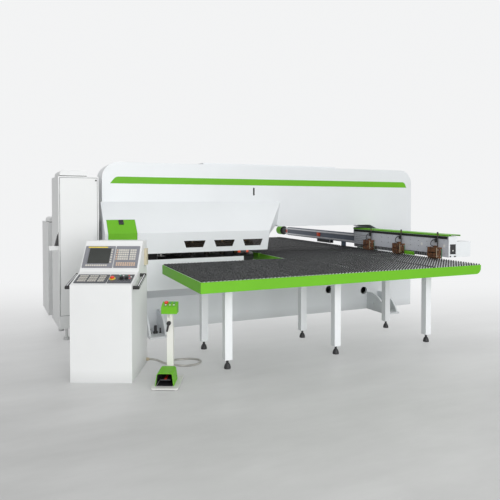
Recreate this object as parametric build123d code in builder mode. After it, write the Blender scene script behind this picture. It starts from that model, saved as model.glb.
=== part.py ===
"""Turret punch press with its tables, clamp beam, operator console, pedal stand and cabinets.

Frame: origin on the floor under the centre of the main frame, +X along the frame towards its
closed right column, +Y to the rear, +Z up. All lengths are millimetres.
"""

from build123d import *
import os
from math import atan2, ceil, cos, degrees, floor, hypot, radians, sin, tan

os.makedirs("parts", exist_ok=True)

# Clearances
RUNNING_GAP = 0.05
BODY_GAP = 0.3

# Main frame
FRAME_LENGTH = 5018
FRAME_THICKNESS = 570
FRAME_HEIGHT = 2243
FRAME_CORNER = 220
FRAME_WALL = 40
THROAT_RIGHT = 1830
THROAT_HEADROOM = 490
THROAT_CORNER_RUN = 150
THROAT_CORNER_DROP = 72
NOSE_X = 42
NOSE_RISE = 140
POCKET_BOTTOM = 560
POCKET_TOP = 1720
POCKET_MARGIN = 40
TOP_PLATE_X = -17
TOP_PLATE_LENGTH = 2190
TOP_PLATE_DEPTH = 390
TOP_PLATE_HEIGHT = 28
LIFTING_HOLES = ((912, 352), (1566, 297))
LIFTING_HOLE_RADIUS = 60
GRIP_SLOT_X = -369
GRIP_SLOT_TOP = 1927
GRIP_SLOT_HEIGHT = 115
GRIP_SLOT_WIDTH = 26
GRIP_SLOT_DEPTH = 14

# Feet of the main frame
FOOT_LEFT_X = -1893
FOOT_RIGHT_X = 1740
FOOT_WIDTH = 230
FOOT_REACH = 515
FOOT_PLATE = 25
GUSSET_HEIGHT = 245
GUSSET_LENGTH = 470
GUSSET_THICKNESS = 25
GUSSET_HOLE_RADIUS = 14
JACK_RADIUS = 18
JACK_HEIGHT = 125
JACK_INSET = 320
ANCHOR_HOLE_RADIUS = 15
ANCHOR_INSET = 440
FOOT_BOLT_RADIUS = 8
FOOT_BOLT_OFFSET = 62
FOOT_BOLT_HEIGHT = 88

# Sheet level and turrets
TABLE_TOP = 970
BRUSH_HEIGHT = 15
SHEET_PLANE = TABLE_TOP + BRUSH_HEIGHT
TURRET_X = -957
TURRET_RADIUS = 640
TURRET_THICKNESS = 90
TOOL_CIRCLE = 540
TOOL_COUNT = 16
TOOL_RADIUS = 42
LOWER_TURRET_DROP = 10
UPPER_TURRET_LIFT = 90
PUNCH_TIP_LIFT = 15
PUNCH_TIP_RADIUS = 24
PUNCH_HEAD_RADIUS = 32
PUNCH_BODY_STICKOUT = 35
PUNCH_HEAD_STICKOUT = 25
DIE_STICKOUT = 8
DIE_HOLE_RADIUS = 18
AXLE_RADIUS = 80
AXLE_FLANGE_RADIUS = 150
AXLE_FLANGE_THICKNESS = 30
AXLE_COLLAR_RADIUS = 115
AXLE_COLLAR_THICKNESS = 25

# Turret drive
BELT_WIDTH = 50
BELT_THICKNESS = 5
DRIVE_RATIO = 9
DRIVE_SPACING = 720
PULLEY_RADIUS = TURRET_RADIUS / DRIVE_RATIO
DRIVE_SHAFT_RADIUS = 30
PEDESTAL_RADIUS = 62
PEDESTAL_HEIGHT = 220
MOTOR_WIDTH = 170
MOTOR_BOTTOM = 1330
MOTOR_BORE_DEPTH = 60

# Punch ram
RAM_RADIUS = 45
RAM_CYLINDER_RADIUS = 95
RAM_CYLINDER_LENGTH = 380
RAM_STICKOUT = 75
RAM_LENGTH = 260

# Hood over the turret, given as reach from the frame face and height
HOOD_WALL = 6
HOOD_TOP = 1720
HOOD_BREAK_REACH = 130
HOOD_BREAK_HEIGHT = 1600
HOOD_REACH = 420
HOOD_FOLD_HEIGHT = 1325
HOOD_LIP_REACH = 400
HOOD_BOTTOM = 1060
HOOD_OVERHANG = 20
HOOD_RIGHT_TOP = 60
HOOD_TAPER_OUT = 0.731
HOOD_TAPER_DOWN = 0.1645
HOOD_SIDE_BACK = 1398
HOOD_SIDE_FRONT = 1270
HOOD_SIDE_FLANGE = 14
WINDOW_X = -976
WINDOW_SPACING = 414
WINDOW_TOP_WIDTH = 296
WINDOW_BOTTOM_WIDTH = 230
WINDOW_TOP = 1212
WINDOW_HEIGHT = 90
PANE_BORDER = 12
PANE_THICKNESS = 4
SENSOR_X = -700
SENSOR_LENGTH = 150
SENSOR_SIZE = 26

# Door in the hood
DOOR_INSET = 39
DOOR_WIDTH = 352
DOOR_TOP = 1490
DOOR_BOTTOM = 1242
DOOR_GAP = 2
DOOR_PIN_RADIUS = 1.5
DOOR_PIN_UP = 4
DOOR_PIN_LENGTH = 8
LATCH_WIDTH = 60
LATCH_HEIGHT = 77
LATCH_THICKNESS = 8
LATCH_PIN_RADIUS = 8
LATCH_TOP_MARGIN = 8

# Cover in front of the lower turret
LOWER_COVER_REACH = 380
LOWER_COVER_TOP = 980
LOWER_COVER_BREAK = 587
LOWER_COVER_BOTTOM = 426
LOWER_COVER_RIGHT = -686

# Outer tables, front and rear
TABLE_LEFT = -1934
TABLE_LENGTH = 3468
TABLE_DEPTH = 1481
TABLE_FRONT = -2641
SKIRT_HEIGHT = 105
SKIRT_WALL = 20
SKIRT_CORNER = 70
PLATE_THICKNESS = 12
PLATE_RIM = 8
LEDGE_WIDTH = 40
LEDGE_THICKNESS = 20
PLATE_SEAMS = (-979, -73, 834)
SEAM_GAP = 4
BRUSH_PITCH = 52
BRUSH_WIDTH = 22
BRUSH_MARGIN = 30
CROSS_MEMBER = 60
LEG_SIZE = 80
LEG_WALL = 4
LEG_XS = (-1512, -204, 1097)
LEG_ROWS = (-2215, -1440)
LEG_FOOT_HEIGHT = 94
LEG_FOOT_RADIUS = 35
LEG_FOOT_STEM = 13

# Centre table
CENTRE_LEFT = -301
CENTRE_REACH = -TABLE_FRONT - TABLE_DEPTH
ARM_SLOT_NEAR = 345
ARM_SLOT_FAR = 295
TIE_LENGTH = 80
TIE_HEIGHT = 40

# Clamp beam
BEAM_FACE_X = 1505
BEAM_NEAR_Y = -2152
BEAM_FAR_Y = 2310
BEAM_SETBACK = 35
BEAM_WIDTH = 80
BEAM_HEIGHT = 160
BEAM_BOTTOM = 1045
BEAM_WALL = 8
RAIL_DEPTH = 12
RAIL_HEIGHT = 24
RAIL_EDGE = 15
END_PLATE_THICKNESS = 8
END_PLATE_WIDTH = 138
END_PANEL_WIDTH = 98
END_PANEL_HEIGHT = 131
END_PANEL_BOTTOM = 1048
END_PANEL_DEPTH = 3
END_BOX_WIDTH = 230
END_BOX_DEPTH = 160
END_BOX_TOP = 1208
MOTOR_FLANGE_SIZE = 100
MOTOR_FLANGE_HEIGHT = 150
MOTOR_FLANGE_LENGTH = 74
CARRIAGE_MOTOR_RADIUS = 60
CARRIAGE_MOTOR_LENGTH = 186
MOTOR_DRUM_RADIUS = 87
MOTOR_DRUM_LENGTH = 194
SWITCH_Y = 1030
SWITCH_LENGTH = 90
JUNCTION_SETBACK = 80
JUNCTION_DEPTH = 75
JUNCTION_NEAR_Y = -380
JUNCTION_LENGTH = 580
JUNCTION_BOTTOM = 1130
JUNCTION_TOP = 1295
TRUNKING_NEAR_Y = 700
TRUNKING_LENGTH = 450
TRUNKING_WIDTH = 70
TRUNKING_HEIGHT = 53

# Beam carriers on the frame
GUIDE_LEFT = 250
GUIDE_DEPTH = 20
GUIDE_HEIGHT = 40
GUIDE_LOW = 700
GUIDE_HIGH = 780
ARM_THICKNESS = 24
RUNNER_LENGTH = 170
RUNNER_THICKNESS = 38

# Clamp carriage
CARRIAGE_LENGTH = 2050
CARRIAGE_BOTTOM = 1012
CARRIAGE_PLATE_TOP = 1240
CARRIAGE_TOP = 1280
CARRIAGE_PLATE = 6
CARRIAGE_FLANGE_WIDTH = 135
PERFORATION_RADIUS = 9
PERFORATION_PITCH = 160
CARRIAGE_BLOCK_LENGTH = 160
DUCT_THICKNESS = 5
DUCT_HEIGHT = 32
COVER_WIDTH = 200
COVER_HEIGHT = 18
COVER_WALL = 3
COVER_OVERLAP = 20
CLAMP_YS = (-550, -1250, -1960)
CLAMP_DEPTH = 89
CLAMP_WIDTH = 166
CLAMP_HEIGHT = 143
CLAMP_LIFT = 2
CLAMP_CHEEK = 12
LOWER_JAW = 5
JAW_GAP = 6
JAW_DEPTH = 48
JAW_HEIGHT = 60
JAW_SIDE_GAP = 1
JAW_PIN_RADIUS = 8
JAW_PIN_BACK = 34
JAW_PIN_UP = 46
POST_RADIUS = 7
POST_OFFSET = -33
POST_TOP = 1325
PORT_SIZE = 30
PORT_HEIGHT = 50
HOSE_RADIUS = 5
STOP_BLOCK_Y = -1445
STOP_BLOCK_LENGTH = 190
STOP_BLOCK_HEIGHT = 50
STOP_BLOCK_DEPTH = 20

# Operator console
CONSOLE_X = -2761.5
CONSOLE_Y = -2146
STATION_YAW = -24.25
CONSOLE_WIDTH = 589
CONSOLE_DEPTH = 650
CONSOLE_FRONT_HEIGHT = 927
CONSOLE_KNEE_DEPTH = 272
CONSOLE_KNEE_HEIGHT = 1020
CONSOLE_TOP_DEPTH = 489
CONSOLE_HEIGHT = 1309
CONSOLE_WALL = 4
CONSOLE_DOOR_WIDTH = 520
CONSOLE_DOOR_HEIGHT = 1000
CONSOLE_DOOR_BOTTOM = 150
CONSOLE_DOOR_THICKNESS = 4
CONSOLE_BARREL_RADIUS = 4
CONSOLE_BARREL_LENGTH = 80
SCREEN_LEFT = -279
SCREEN_WIDTH = 302
UNIT_HEIGHT = 250
UNIT_RISE = 42
UNIT_THICKNESS = 12
SCREEN_GLASS_WIDTH = 214
SCREEN_GLASS_HEIGHT = 165
KEYPAD_LEFT = 37
KEYPAD_WIDTH = 238
KEY_SIZE = 15
KEY_HEIGHT = 3
PANEL_THICKNESS = 8
PANEL_RISE = 40
PANEL_HEIGHT = 170
LEFT_PANEL_LEFT = -272
LEFT_PANEL_WIDTH = 308
RIGHT_PANEL_LEFT = 47
RIGHT_PANEL_WIDTH = 230
CONTROL_RISE = 82
ESTOP_X = 79
ESTOP_RING_RADIUS = 30
ESTOP_RADIUS = 20
ESTOP_STEM_RADIUS = 11
ESTOP_TRAVEL = 6
FEED_KNOB_X = 168
MODE_KNOB_X = 218
KNOB_RADIUS = 17
KNOB_HEIGHT = 22
HANDLE_RADIUS = 12
HANDLE_START = (48, 898)
HANDLE_END = (345, 977)
HANDLE_STANDOFF = 48

# Pedal stand
PEDAL_X = -2187
PEDAL_Y = -2415
PEDAL_BASE_WIDTH = 250
PEDAL_BASE_DEPTH = 370
PEDAL_BASE_HEIGHT = 14
PEDAL_PAD_RADIUS = 14
PEDAL_PAD_HEIGHT = 8
POST_BACK = 148
POST_SIZE = 62
POST_WALL = 4
LOWER_POST_TOP = 500
UPPER_POST_BOTTOM = 180
BOX_BOTTOM = 644
BOX_WIDTH = 152
BOX_DEPTH = 110
BOX_FRONT_HEIGHT = 64
BOX_BACK_HEIGHT = 100
BOX_BUTTON_RADIUS = 9
BOX_ESTOP_X = -36
LEVER_Z = 547
LEVER_HUB_RADIUS = 20
LEVER_LENGTH = 75
LEVER_THICKNESS = 30
PEDAL_HOOD_X = -8
PEDAL_HOOD_WIDTH = 172
PEDAL_HOOD_DEPTH = 215
PEDAL_HOOD_FRONT = -128
PEDAL_HOOD_HEIGHT = 118
PEDAL_HOOD_WALL = 5
PEDAL_HOOD_CORNER = 22
PEDAL_WIDTH = 96
PEDAL_LENGTH = 150
PEDAL_THICKNESS = 12
PEDAL_PIVOT_BACK = 60
PEDAL_PIVOT_UP = 34
PEDAL_PIN_RADIUS = 6

# Conduit from the console to the pedal stand
CONDUIT_RADIUS = 11
GLAND_RADIUS = 18
GLAND_LENGTH = 34
CONSOLE_GLAND_DEPTH = 620
CONSOLE_GLAND_Z = 40
POST_GLAND_Z = 62
CONDUIT_LEAD = 60

# Electrical cabinet and power unit
CABINET_YAW = 4
CABINET_SETOUT = 538
CABINET_Y = -480
CABINET_WIDTH = 478
CABINET_DEPTH = 700
CABINET_BOTTOM = 157
CABINET_TOP = 2032
CABINET_WALL = 6
CABINET_BORDER = 18
CABINET_FLANGE = 16
CABINET_PLINTH = 164
CABINET_DOOR_THICKNESS = 20
CABINET_DOOR_GAP = 3
CABINET_BARREL_RADIUS = 2.5
CABINET_BARREL_LENGTH = 120
LOCK_RADIUS = 9
UNIT_SETOUT = 616
UNIT_Y = 900
UNIT_WIDTH = 700
UNIT_DEPTH = 830
UNIT_BOTTOM = 60
UNIT_TOP = 1420
COWL_MARGIN = 20
COWL_WIDTH = 330
COWL_HEIGHT = 66
COWL_CORNER = 50
COWL_GAP = 9
COWL_DEPTH = 520
CABINET_FOOT_RADIUS = 36
CABINET_FOOT_STEM = 16
CABINET_FOOT_INSET = 95
CABINET_FOOT_PAD = 30
MAIN_SWITCH_Z = 1180
MAIN_SWITCH_HEIGHT = 175
MAIN_SWITCH_REACH = 42
MAIN_SWITCH_DEPTH = 60
HOLDER_SIZE = 55

# Worked-out values of the main frame and the turrets
frame_face = FRAME_THICKNESS / 2
throat_bottom = TABLE_TOP - SKIRT_HEIGHT
throat_top = throat_bottom + THROAT_HEADROOM
drive_x = TURRET_X - DRIVE_SPACING
pocket_left = drive_x - PULLEY_RADIUS - BELT_THICKNESS - POCKET_MARGIN
pocket_right = TURRET_X + TURRET_RADIUS + POCKET_MARGIN
foot_xs = (FOOT_LEFT_X, FOOT_RIGHT_X)
lower_turret_top = SHEET_PLANE - LOWER_TURRET_DROP
lower_turret_bottom = lower_turret_top - TURRET_THICKNESS
upper_turret_bottom = SHEET_PLANE + UPPER_TURRET_LIFT
upper_turret_top = upper_turret_bottom + TURRET_THICKNESS
punch_top = upper_turret_top + PUNCH_BODY_STICKOUT + PUNCH_HEAD_STICKOUT
beam_box_x = BEAM_FACE_X + BEAM_SETBACK
beam_top = BEAM_BOTTOM + BEAM_HEIGHT
carriage_near = BEAM_NEAR_Y + 2
carriage_far = carriage_near + CARRIAGE_LENGTH
clamp_bottom = SHEET_PLANE + CLAMP_LIFT
clamp_top = clamp_bottom + CLAMP_HEIGHT
plate_bottom = TABLE_TOP - PLATE_THICKNESS
rail_zs = (BEAM_BOTTOM + RAIL_EDGE, beam_top - RAIL_EDGE - RAIL_HEIGHT)


def keep(builder, label):
    """Name the finished piece and write its file."""
    builder.part.label = label
    export_step(builder.part, f"parts/{label}.step")


def turned(x, y, yaw):
    """Floor plane of a unit that stands turned by yaw about its own corner."""
    return Plane(origin=(x, y, 0), x_dir=(cos(radians(yaw)), sin(radians(yaw)), 0), z_dir=(0, 0, 1))


def moved(base, x, y, z):
    """The same plane with its origin at a point given in its own coordinates."""
    return Plane(origin=base.from_local_coords(Vector(x, y, z)), x_dir=base.x_dir, z_dir=base.z_dir)


def side_view(base):
    """Upright plane whose sketch X runs to the unit's back and whose normal runs to its right."""
    return Plane(origin=base.origin, x_dir=base.y_dir, z_dir=base.x_dir)


def block(x0, x1, y0, y1, z0, z1, mode=Mode.ADD):
    """Add a box given by its limits to the part being built."""
    with Locations(((x0 + x1) / 2, (y0 + y1) / 2, (z0 + z1) / 2)):
        Box(x1 - x0, y1 - y0, z1 - z0, mode=mode)


def rod(x, y, z0, z1, radius, mode=Mode.ADD):
    """Add an upright cylinder between two heights to the part being built."""
    with Locations((x, y, (z0 + z1) / 2)):
        Cylinder(radius, z1 - z0, mode=mode)


# Main frame: a hollow welded body with a throat and a turret pocket
def frame_section(inset):
    """Front view of the frame with every edge moved into the wall by inset."""
    window = [
        (pocket_left, POCKET_BOTTOM),
        (pocket_right, POCKET_BOTTOM),
        (pocket_right, throat_bottom),
        (THROAT_RIGHT, throat_bottom),
        (THROAT_RIGHT, throat_top - THROAT_CORNER_DROP),
        (THROAT_RIGHT - THROAT_CORNER_RUN, throat_top),
        (NOSE_X, throat_top),
        (pocket_right, throat_top + NOSE_RISE),
        (pocket_right, POCKET_TOP),
        (pocket_left, POCKET_TOP),
    ]
    with BuildSketch(Plane.XZ) as opening:
        with BuildLine():
            Polyline(*window, close=True)
        make_face()
        if inset:
            offset(amount=inset, kind=Kind.INTERSECTION)
    with BuildSketch(Plane.XZ) as section:
        with Locations((0, FRAME_HEIGHT / 2)):
            Rectangle(FRAME_LENGTH - 2 * inset, FRAME_HEIGHT - 2 * inset)
        fillet(section.vertices().group_by(Axis.Y)[-1], FRAME_CORNER - inset)
        add(opening.sketch, mode=Mode.SUBTRACT)
    return section.sketch


def gusset(x, side):
    """Upright plate with a rounded front edge and a hole, standing on a foot plate."""
    inner = side * frame_face
    outer = side * (frame_face + GUSSET_LENGTH)
    top = FOOT_PLATE + GUSSET_HEIGHT
    nose = FOOT_PLATE + GUSSET_THICKNESS
    waist = (side * (frame_face + GUSSET_LENGTH * 0.70), FOOT_PLATE + GUSSET_HEIGHT * 0.73)
    with BuildSketch(Plane.YZ.offset(x)) as web:
        with BuildLine():
            Polyline((outer, nose), (outer, FOOT_PLATE), (inner, FOOT_PLATE), (inner, top),
                     (inner + side * GUSSET_THICKNESS, top))
            ThreePointArc((inner + side * GUSSET_THICKNESS, top), waist, (outer, nose))
        make_face()
        with Locations((inner + side * GUSSET_LENGTH * 0.37, FOOT_PLATE + GUSSET_HEIGHT * 0.38)):
            Circle(GUSSET_HOLE_RADIUS, mode=Mode.SUBTRACT)
    extrude(web.sketch, amount=GUSSET_THICKNESS / 2, both=True)


with BuildPart() as main_frame:
    extrude(frame_section(0), amount=frame_face, both=True)
    extrude(frame_section(FRAME_WALL), amount=frame_face - FRAME_WALL, both=True, mode=Mode.SUBTRACT)
    block(TOP_PLATE_X - TOP_PLATE_LENGTH / 2, TOP_PLATE_X + TOP_PLATE_LENGTH / 2, -TOP_PLATE_DEPTH / 2,
          TOP_PLATE_DEPTH / 2, FRAME_HEIGHT, FRAME_HEIGHT + TOP_PLATE_HEIGHT)
    with BuildSketch(Plane.XZ.offset(frame_face)):
        with Locations(*LIFTING_HOLES):
            Circle(LIFTING_HOLE_RADIUS)
    extrude(amount=-FRAME_WALL, mode=Mode.SUBTRACT)
    with BuildSketch(Plane.XZ.offset(frame_face)):
        with Locations((GRIP_SLOT_X, GRIP_SLOT_TOP - GRIP_SLOT_HEIGHT / 2)):
            SlotOverall(GRIP_SLOT_HEIGHT, GRIP_SLOT_WIDTH, rotation=90)
    extrude(amount=-GRIP_SLOT_DEPTH, mode=Mode.SUBTRACT)
keep(main_frame, "main_frame")

# Feet at the frame's faces: a plate with two gussets each, and holes for the jack screw and two bolts
with BuildPart() as frame_feet:
    for side in (-1, 1):
        near, far = sorted((side * frame_face, side * (frame_face + FOOT_REACH)))
        for x in foot_xs:
            block(x - FOOT_WIDTH / 2, x + FOOT_WIDTH / 2, near, far, 0, FOOT_PLATE)
            for edge in (-1, 1):
                gusset(x + edge * (FOOT_WIDTH - GUSSET_THICKNESS) / 2, side)
            rod(x, side * (frame_face + JACK_INSET), 0, FOOT_PLATE, JACK_RADIUS + BODY_GAP, Mode.SUBTRACT)
            for bolt in (x - FOOT_BOLT_OFFSET, x + FOOT_BOLT_OFFSET):
                rod(bolt, side * (frame_face + JACK_INSET), 0, FOOT_PLATE, FOOT_BOLT_RADIUS + BODY_GAP,
                    Mode.SUBTRACT)
            rod(x, side * (frame_face + ANCHOR_INSET), 0, FOOT_PLATE, ANCHOR_HOLE_RADIUS, Mode.SUBTRACT)
keep(frame_feet, "frame_feet")

# Jack screws of the frame's feet, each with its nut and two anchor bolts
with BuildPart() as jack_screws:
    for side in (-1, 1):
        for x in foot_xs:
            rod(x, side * (frame_face + JACK_INSET), 0, JACK_HEIGHT, JACK_RADIUS)
            with BuildSketch(Plane.XY.offset(FOOT_PLATE)):
                with Locations((x, side * (frame_face + JACK_INSET))):
                    RegularPolygon(JACK_RADIUS * 1.7, 6)
            extrude(amount=JACK_RADIUS * 1.4)
            for bolt in (x - FOOT_BOLT_OFFSET, x + FOOT_BOLT_OFFSET):
                rod(bolt, side * (frame_face + JACK_INSET), 0, FOOT_BOLT_HEIGHT, FOOT_BOLT_RADIUS)
                with BuildSketch(Plane.XY.offset(FOOT_PLATE)):
                    with Locations((bolt, side * (frame_face + JACK_INSET))):
                        RegularPolygon(FOOT_BOLT_RADIUS * 1.7, 6)
                extrude(amount=FOOT_BOLT_RADIUS * 1.4)
keep(jack_screws, "jack_screws")

# Axles that carry the two turrets, and the lower bearing of the drive shaft
axle_collar_top = upper_turret_bottom - BODY_GAP
with BuildPart() as turret_axles:
    rod(TURRET_X, 0, axle_collar_top - AXLE_COLLAR_THICKNESS, POCKET_TOP, AXLE_RADIUS)
    rod(TURRET_X, 0, axle_collar_top - AXLE_COLLAR_THICKNESS, axle_collar_top, AXLE_COLLAR_RADIUS)
    rod(TURRET_X, 0, POCKET_TOP - AXLE_FLANGE_THICKNESS, POCKET_TOP, AXLE_FLANGE_RADIUS)
    rod(TURRET_X, 0, POCKET_BOTTOM, POCKET_BOTTOM + AXLE_FLANGE_THICKNESS, AXLE_FLANGE_RADIUS)
    rod(TURRET_X, 0, POCKET_BOTTOM, lower_turret_bottom - BODY_GAP, AXLE_COLLAR_RADIUS)
    rod(TURRET_X, 0, POCKET_BOTTOM, lower_turret_top, AXLE_RADIUS)
    rod(drive_x, 0, POCKET_BOTTOM, POCKET_BOTTOM + PEDESTAL_HEIGHT, PEDESTAL_RADIUS)
    rod(drive_x, 0, POCKET_BOTTOM + PEDESTAL_HEIGHT / 2, POCKET_BOTTOM + PEDESTAL_HEIGHT,
        DRIVE_SHAFT_RADIUS + RUNNING_GAP, Mode.SUBTRACT)
keep(turret_axles, "turret_axles")

# Upper turret: a disc with a ring of tool holes on the axle
with BuildPart() as upper_turret:
    rod(TURRET_X, 0, upper_turret_bottom, upper_turret_top, TURRET_RADIUS)
    rod(TURRET_X, 0, upper_turret_top, upper_turret_top + TURRET_THICKNESS / 2, AXLE_FLANGE_RADIUS)
    rod(TURRET_X, 0, upper_turret_bottom, upper_turret_top + TURRET_THICKNESS / 2,
        AXLE_RADIUS + RUNNING_GAP, Mode.SUBTRACT)
    with BuildSketch(Plane.XY.offset(upper_turret_bottom)):
        with Locations((TURRET_X, 0)):
            with PolarLocations(TOOL_CIRCLE, TOOL_COUNT):
                Circle(TOOL_RADIUS + BODY_GAP)
    extrude(amount=TURRET_THICKNESS, mode=Mode.SUBTRACT)
keep(upper_turret, "upper_turret")

# Punch tools in the upper turret: guide, striking head and tip in one profile
punch_shoulder = upper_turret_top + PUNCH_BODY_STICKOUT
with BuildPart() as punch_tools:
    with BuildSketch(Plane.XZ) as punch_profile:
        with BuildLine():
            Polyline(
                (0, SHEET_PLANE + PUNCH_TIP_LIFT),
                (PUNCH_TIP_RADIUS, SHEET_PLANE + PUNCH_TIP_LIFT),
                (TOOL_RADIUS, upper_turret_bottom - PUNCH_TIP_RADIUS),
                (TOOL_RADIUS, punch_shoulder),
                (PUNCH_HEAD_RADIUS, punch_shoulder),
                (PUNCH_HEAD_RADIUS, punch_top),
                (0, punch_top),
                close=True,
            )
        make_face()
    punch = revolve(punch_profile.sketch, axis=Axis.Z, mode=Mode.PRIVATE)
    with Locations((TURRET_X, 0)):
        with PolarLocations(TOOL_CIRCLE, TOOL_COUNT):
            add(punch)
keep(punch_tools, "punch_tools")

# Lower turret with its dies standing a little above its face
with BuildPart() as lower_turret:
    rod(TURRET_X, 0, lower_turret_bottom, lower_turret_top, TURRET_RADIUS)
    rod(TURRET_X, 0, lower_turret_bottom, lower_turret_top, AXLE_RADIUS + RUNNING_GAP, Mode.SUBTRACT)
    with BuildSketch(Plane.XY.offset(lower_turret_top)):
        with Locations((TURRET_X, 0)):
            with PolarLocations(TOOL_CIRCLE, TOOL_COUNT):
                Circle(TOOL_RADIUS)
    extrude(amount=DIE_STICKOUT)
    with BuildSketch(Plane.XY.offset(lower_turret_bottom)):
        with Locations((TURRET_X, 0)):
            with PolarLocations(TOOL_CIRCLE, TOOL_COUNT):
                Circle(DIE_HOLE_RADIUS)
    extrude(amount=TURRET_THICKNESS + DIE_STICKOUT, mode=Mode.SUBTRACT)
keep(lower_turret, "lower_turret")


# Drive: one upright shaft turns both turrets through two toothed belts
def belt_loop(extra):
    """Closed outline round a turret and its pulley, with some extra radius."""
    with BuildSketch() as loop:
        with Locations((TURRET_X, 0)):
            Circle(TURRET_RADIUS + extra)
        with Locations((drive_x, 0)):
            Circle(PULLEY_RADIUS + extra)
        make_hull()
    return loop.sketch


belt_bottoms = [face + (TURRET_THICKNESS - BELT_WIDTH) / 2 for face in (lower_turret_bottom, upper_turret_bottom)]
with BuildPart() as drive_belts:
    for bottom in belt_bottoms:
        with Locations((0, 0, bottom)):
            add(extrude(belt_loop(BODY_GAP + BELT_THICKNESS), amount=BELT_WIDTH, mode=Mode.PRIVATE))
    for bottom in belt_bottoms:
        with Locations((0, 0, bottom)):
            add(extrude(belt_loop(BODY_GAP), amount=BELT_WIDTH, mode=Mode.PRIVATE), mode=Mode.SUBTRACT)
keep(drive_belts, "drive_belts")

with BuildPart() as drive_shaft:
    rod(drive_x, 0, POCKET_BOTTOM + PEDESTAL_HEIGHT / 2 + BODY_GAP, MOTOR_BOTTOM + MOTOR_BORE_DEPTH - BODY_GAP,
        DRIVE_SHAFT_RADIUS)
    for bottom in belt_bottoms:
        rod(drive_x, 0, bottom - 4, bottom + BELT_WIDTH + 4, PULLEY_RADIUS)
    rod(drive_x, 0, POCKET_BOTTOM + PEDESTAL_HEIGHT + BODY_GAP, belt_bottoms[0] - 4, DRIVE_SHAFT_RADIUS * 1.4)
keep(drive_shaft, "drive_shaft")

with BuildPart() as turret_motor:
    block(drive_x - MOTOR_WIDTH / 2, drive_x + MOTOR_WIDTH / 2, -MOTOR_WIDTH / 2, MOTOR_WIDTH / 2, MOTOR_BOTTOM,
          POCKET_TOP)
    chamfer(turret_motor.edges().filter_by(Axis.Z), MOTOR_WIDTH / 8)
    rod(drive_x, 0, MOTOR_BOTTOM, MOTOR_BOTTOM + MOTOR_BORE_DEPTH, DRIVE_SHAFT_RADIUS + RUNNING_GAP, Mode.SUBTRACT)
keep(turret_motor, "turret_motor")

# Ram over the punching station, in its cylinder under the frame's upper beam
ram_x = TURRET_X + TOOL_CIRCLE
ram_cylinder_bottom = POCKET_TOP - RAM_CYLINDER_LENGTH
ram_bottom = ram_cylinder_bottom - RAM_STICKOUT
with BuildPart() as ram_cylinder:
    rod(ram_x, 0, ram_cylinder_bottom, POCKET_TOP, RAM_CYLINDER_RADIUS)
    rod(ram_x, 0, ram_cylinder_bottom, ram_bottom + RAM_LENGTH + BODY_GAP, RAM_RADIUS + RUNNING_GAP, Mode.SUBTRACT)
keep(ram_cylinder, "ram_cylinder")

with BuildPart() as ram:
    rod(ram_x, 0, ram_bottom, ram_bottom + RAM_LENGTH, RAM_RADIUS)
    chamfer(ram.edges().group_by(Axis.Z)[0], RAM_RADIUS / 6)
keep(ram, "ram")

# Hood: folded sheet over the turret, with its right end cut on a slant
hood_left = -FRAME_LENGTH / 2 - HOOD_OVERHANG
door_left = hood_left + DOOR_INSET
slope_angle = atan2(HOOD_BREAK_HEIGHT - HOOD_FOLD_HEIGHT, HOOD_REACH - HOOD_BREAK_REACH)
band_angle = atan2(HOOD_FOLD_HEIGHT - HOOD_BOTTOM, HOOD_REACH - HOOD_LIP_REACH)


def hood_outline(inset):
    """Side view of the hood as (Y, Z) points, moved inwards by inset at every fold."""
    top_drop = inset / cos(atan2(HOOD_TOP - HOOD_BREAK_HEIGHT, HOOD_BREAK_REACH))
    return [
        (-frame_face, HOOD_TOP - top_drop),
        (-frame_face - HOOD_BREAK_REACH + 0.6 * inset, HOOD_BREAK_HEIGHT - 0.9 * inset),
        (-frame_face - HOOD_REACH + inset, HOOD_FOLD_HEIGHT - 0.4 * inset),
        (-frame_face - HOOD_LIP_REACH + inset, HOOD_BOTTOM - inset),
        (-frame_face, HOOD_BOTTOM - inset),
    ]


def hood_solid(inset):
    """Filled hood whose walls are moved inwards by inset; its back and bottom stay open."""
    slant = Vector(1, -HOOD_TAPER_OUT, -HOOD_TAPER_DOWN).normalized()
    corner = Vector(HOOD_RIGHT_TOP, -frame_face, HOOD_TOP) - slant * inset
    with BuildPart() as solid:
        with BuildSketch(Plane.YZ.offset(hood_left + inset)):
            with BuildLine():
                Polyline(*hood_outline(inset), close=True)
            make_face()
        extrude(amount=HOOD_RIGHT_TOP - hood_left)
        split(bisect_by=Plane(origin=corner, z_dir=slant), keep=Keep.BOTTOM)
    return solid.part


hood_block = hood_solid(0)
hood_space = hood_solid(HOOD_WALL)
band_normal = Vector(0, -sin(band_angle), -cos(band_angle))
band_plane = Plane(origin=(WINDOW_X, -frame_face - HOOD_LIP_REACH, HOOD_BOTTOM), x_dir=(1, 0, 0), z_dir=band_normal)
window_base = (WINDOW_TOP - WINDOW_HEIGHT - HOOD_BOTTOM) / sin(band_angle)


def trapezoids(border):
    """Window outlines one by one, because the line builder holds one outline at a time."""
    outlines = []
    for k in range(3):
        with BuildSketch(band_plane) as window:
            with BuildLine():
                Polyline(
                    ((k - 1) * WINDOW_SPACING - WINDOW_BOTTOM_WIDTH / 2, window_base),
                    ((k - 1) * WINDOW_SPACING + WINDOW_BOTTOM_WIDTH / 2, window_base),
                    ((k - 1) * WINDOW_SPACING + WINDOW_TOP_WIDTH / 2, window_base + WINDOW_HEIGHT),
                    ((k - 1) * WINDOW_SPACING - WINDOW_TOP_WIDTH / 2, window_base + WINDOW_HEIGHT),
                    close=True,
                )
            make_face()
            if border:
                offset(amount=border, kind=Kind.INTERSECTION)
        outlines.append(window.sketch)
    return outlines


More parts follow.
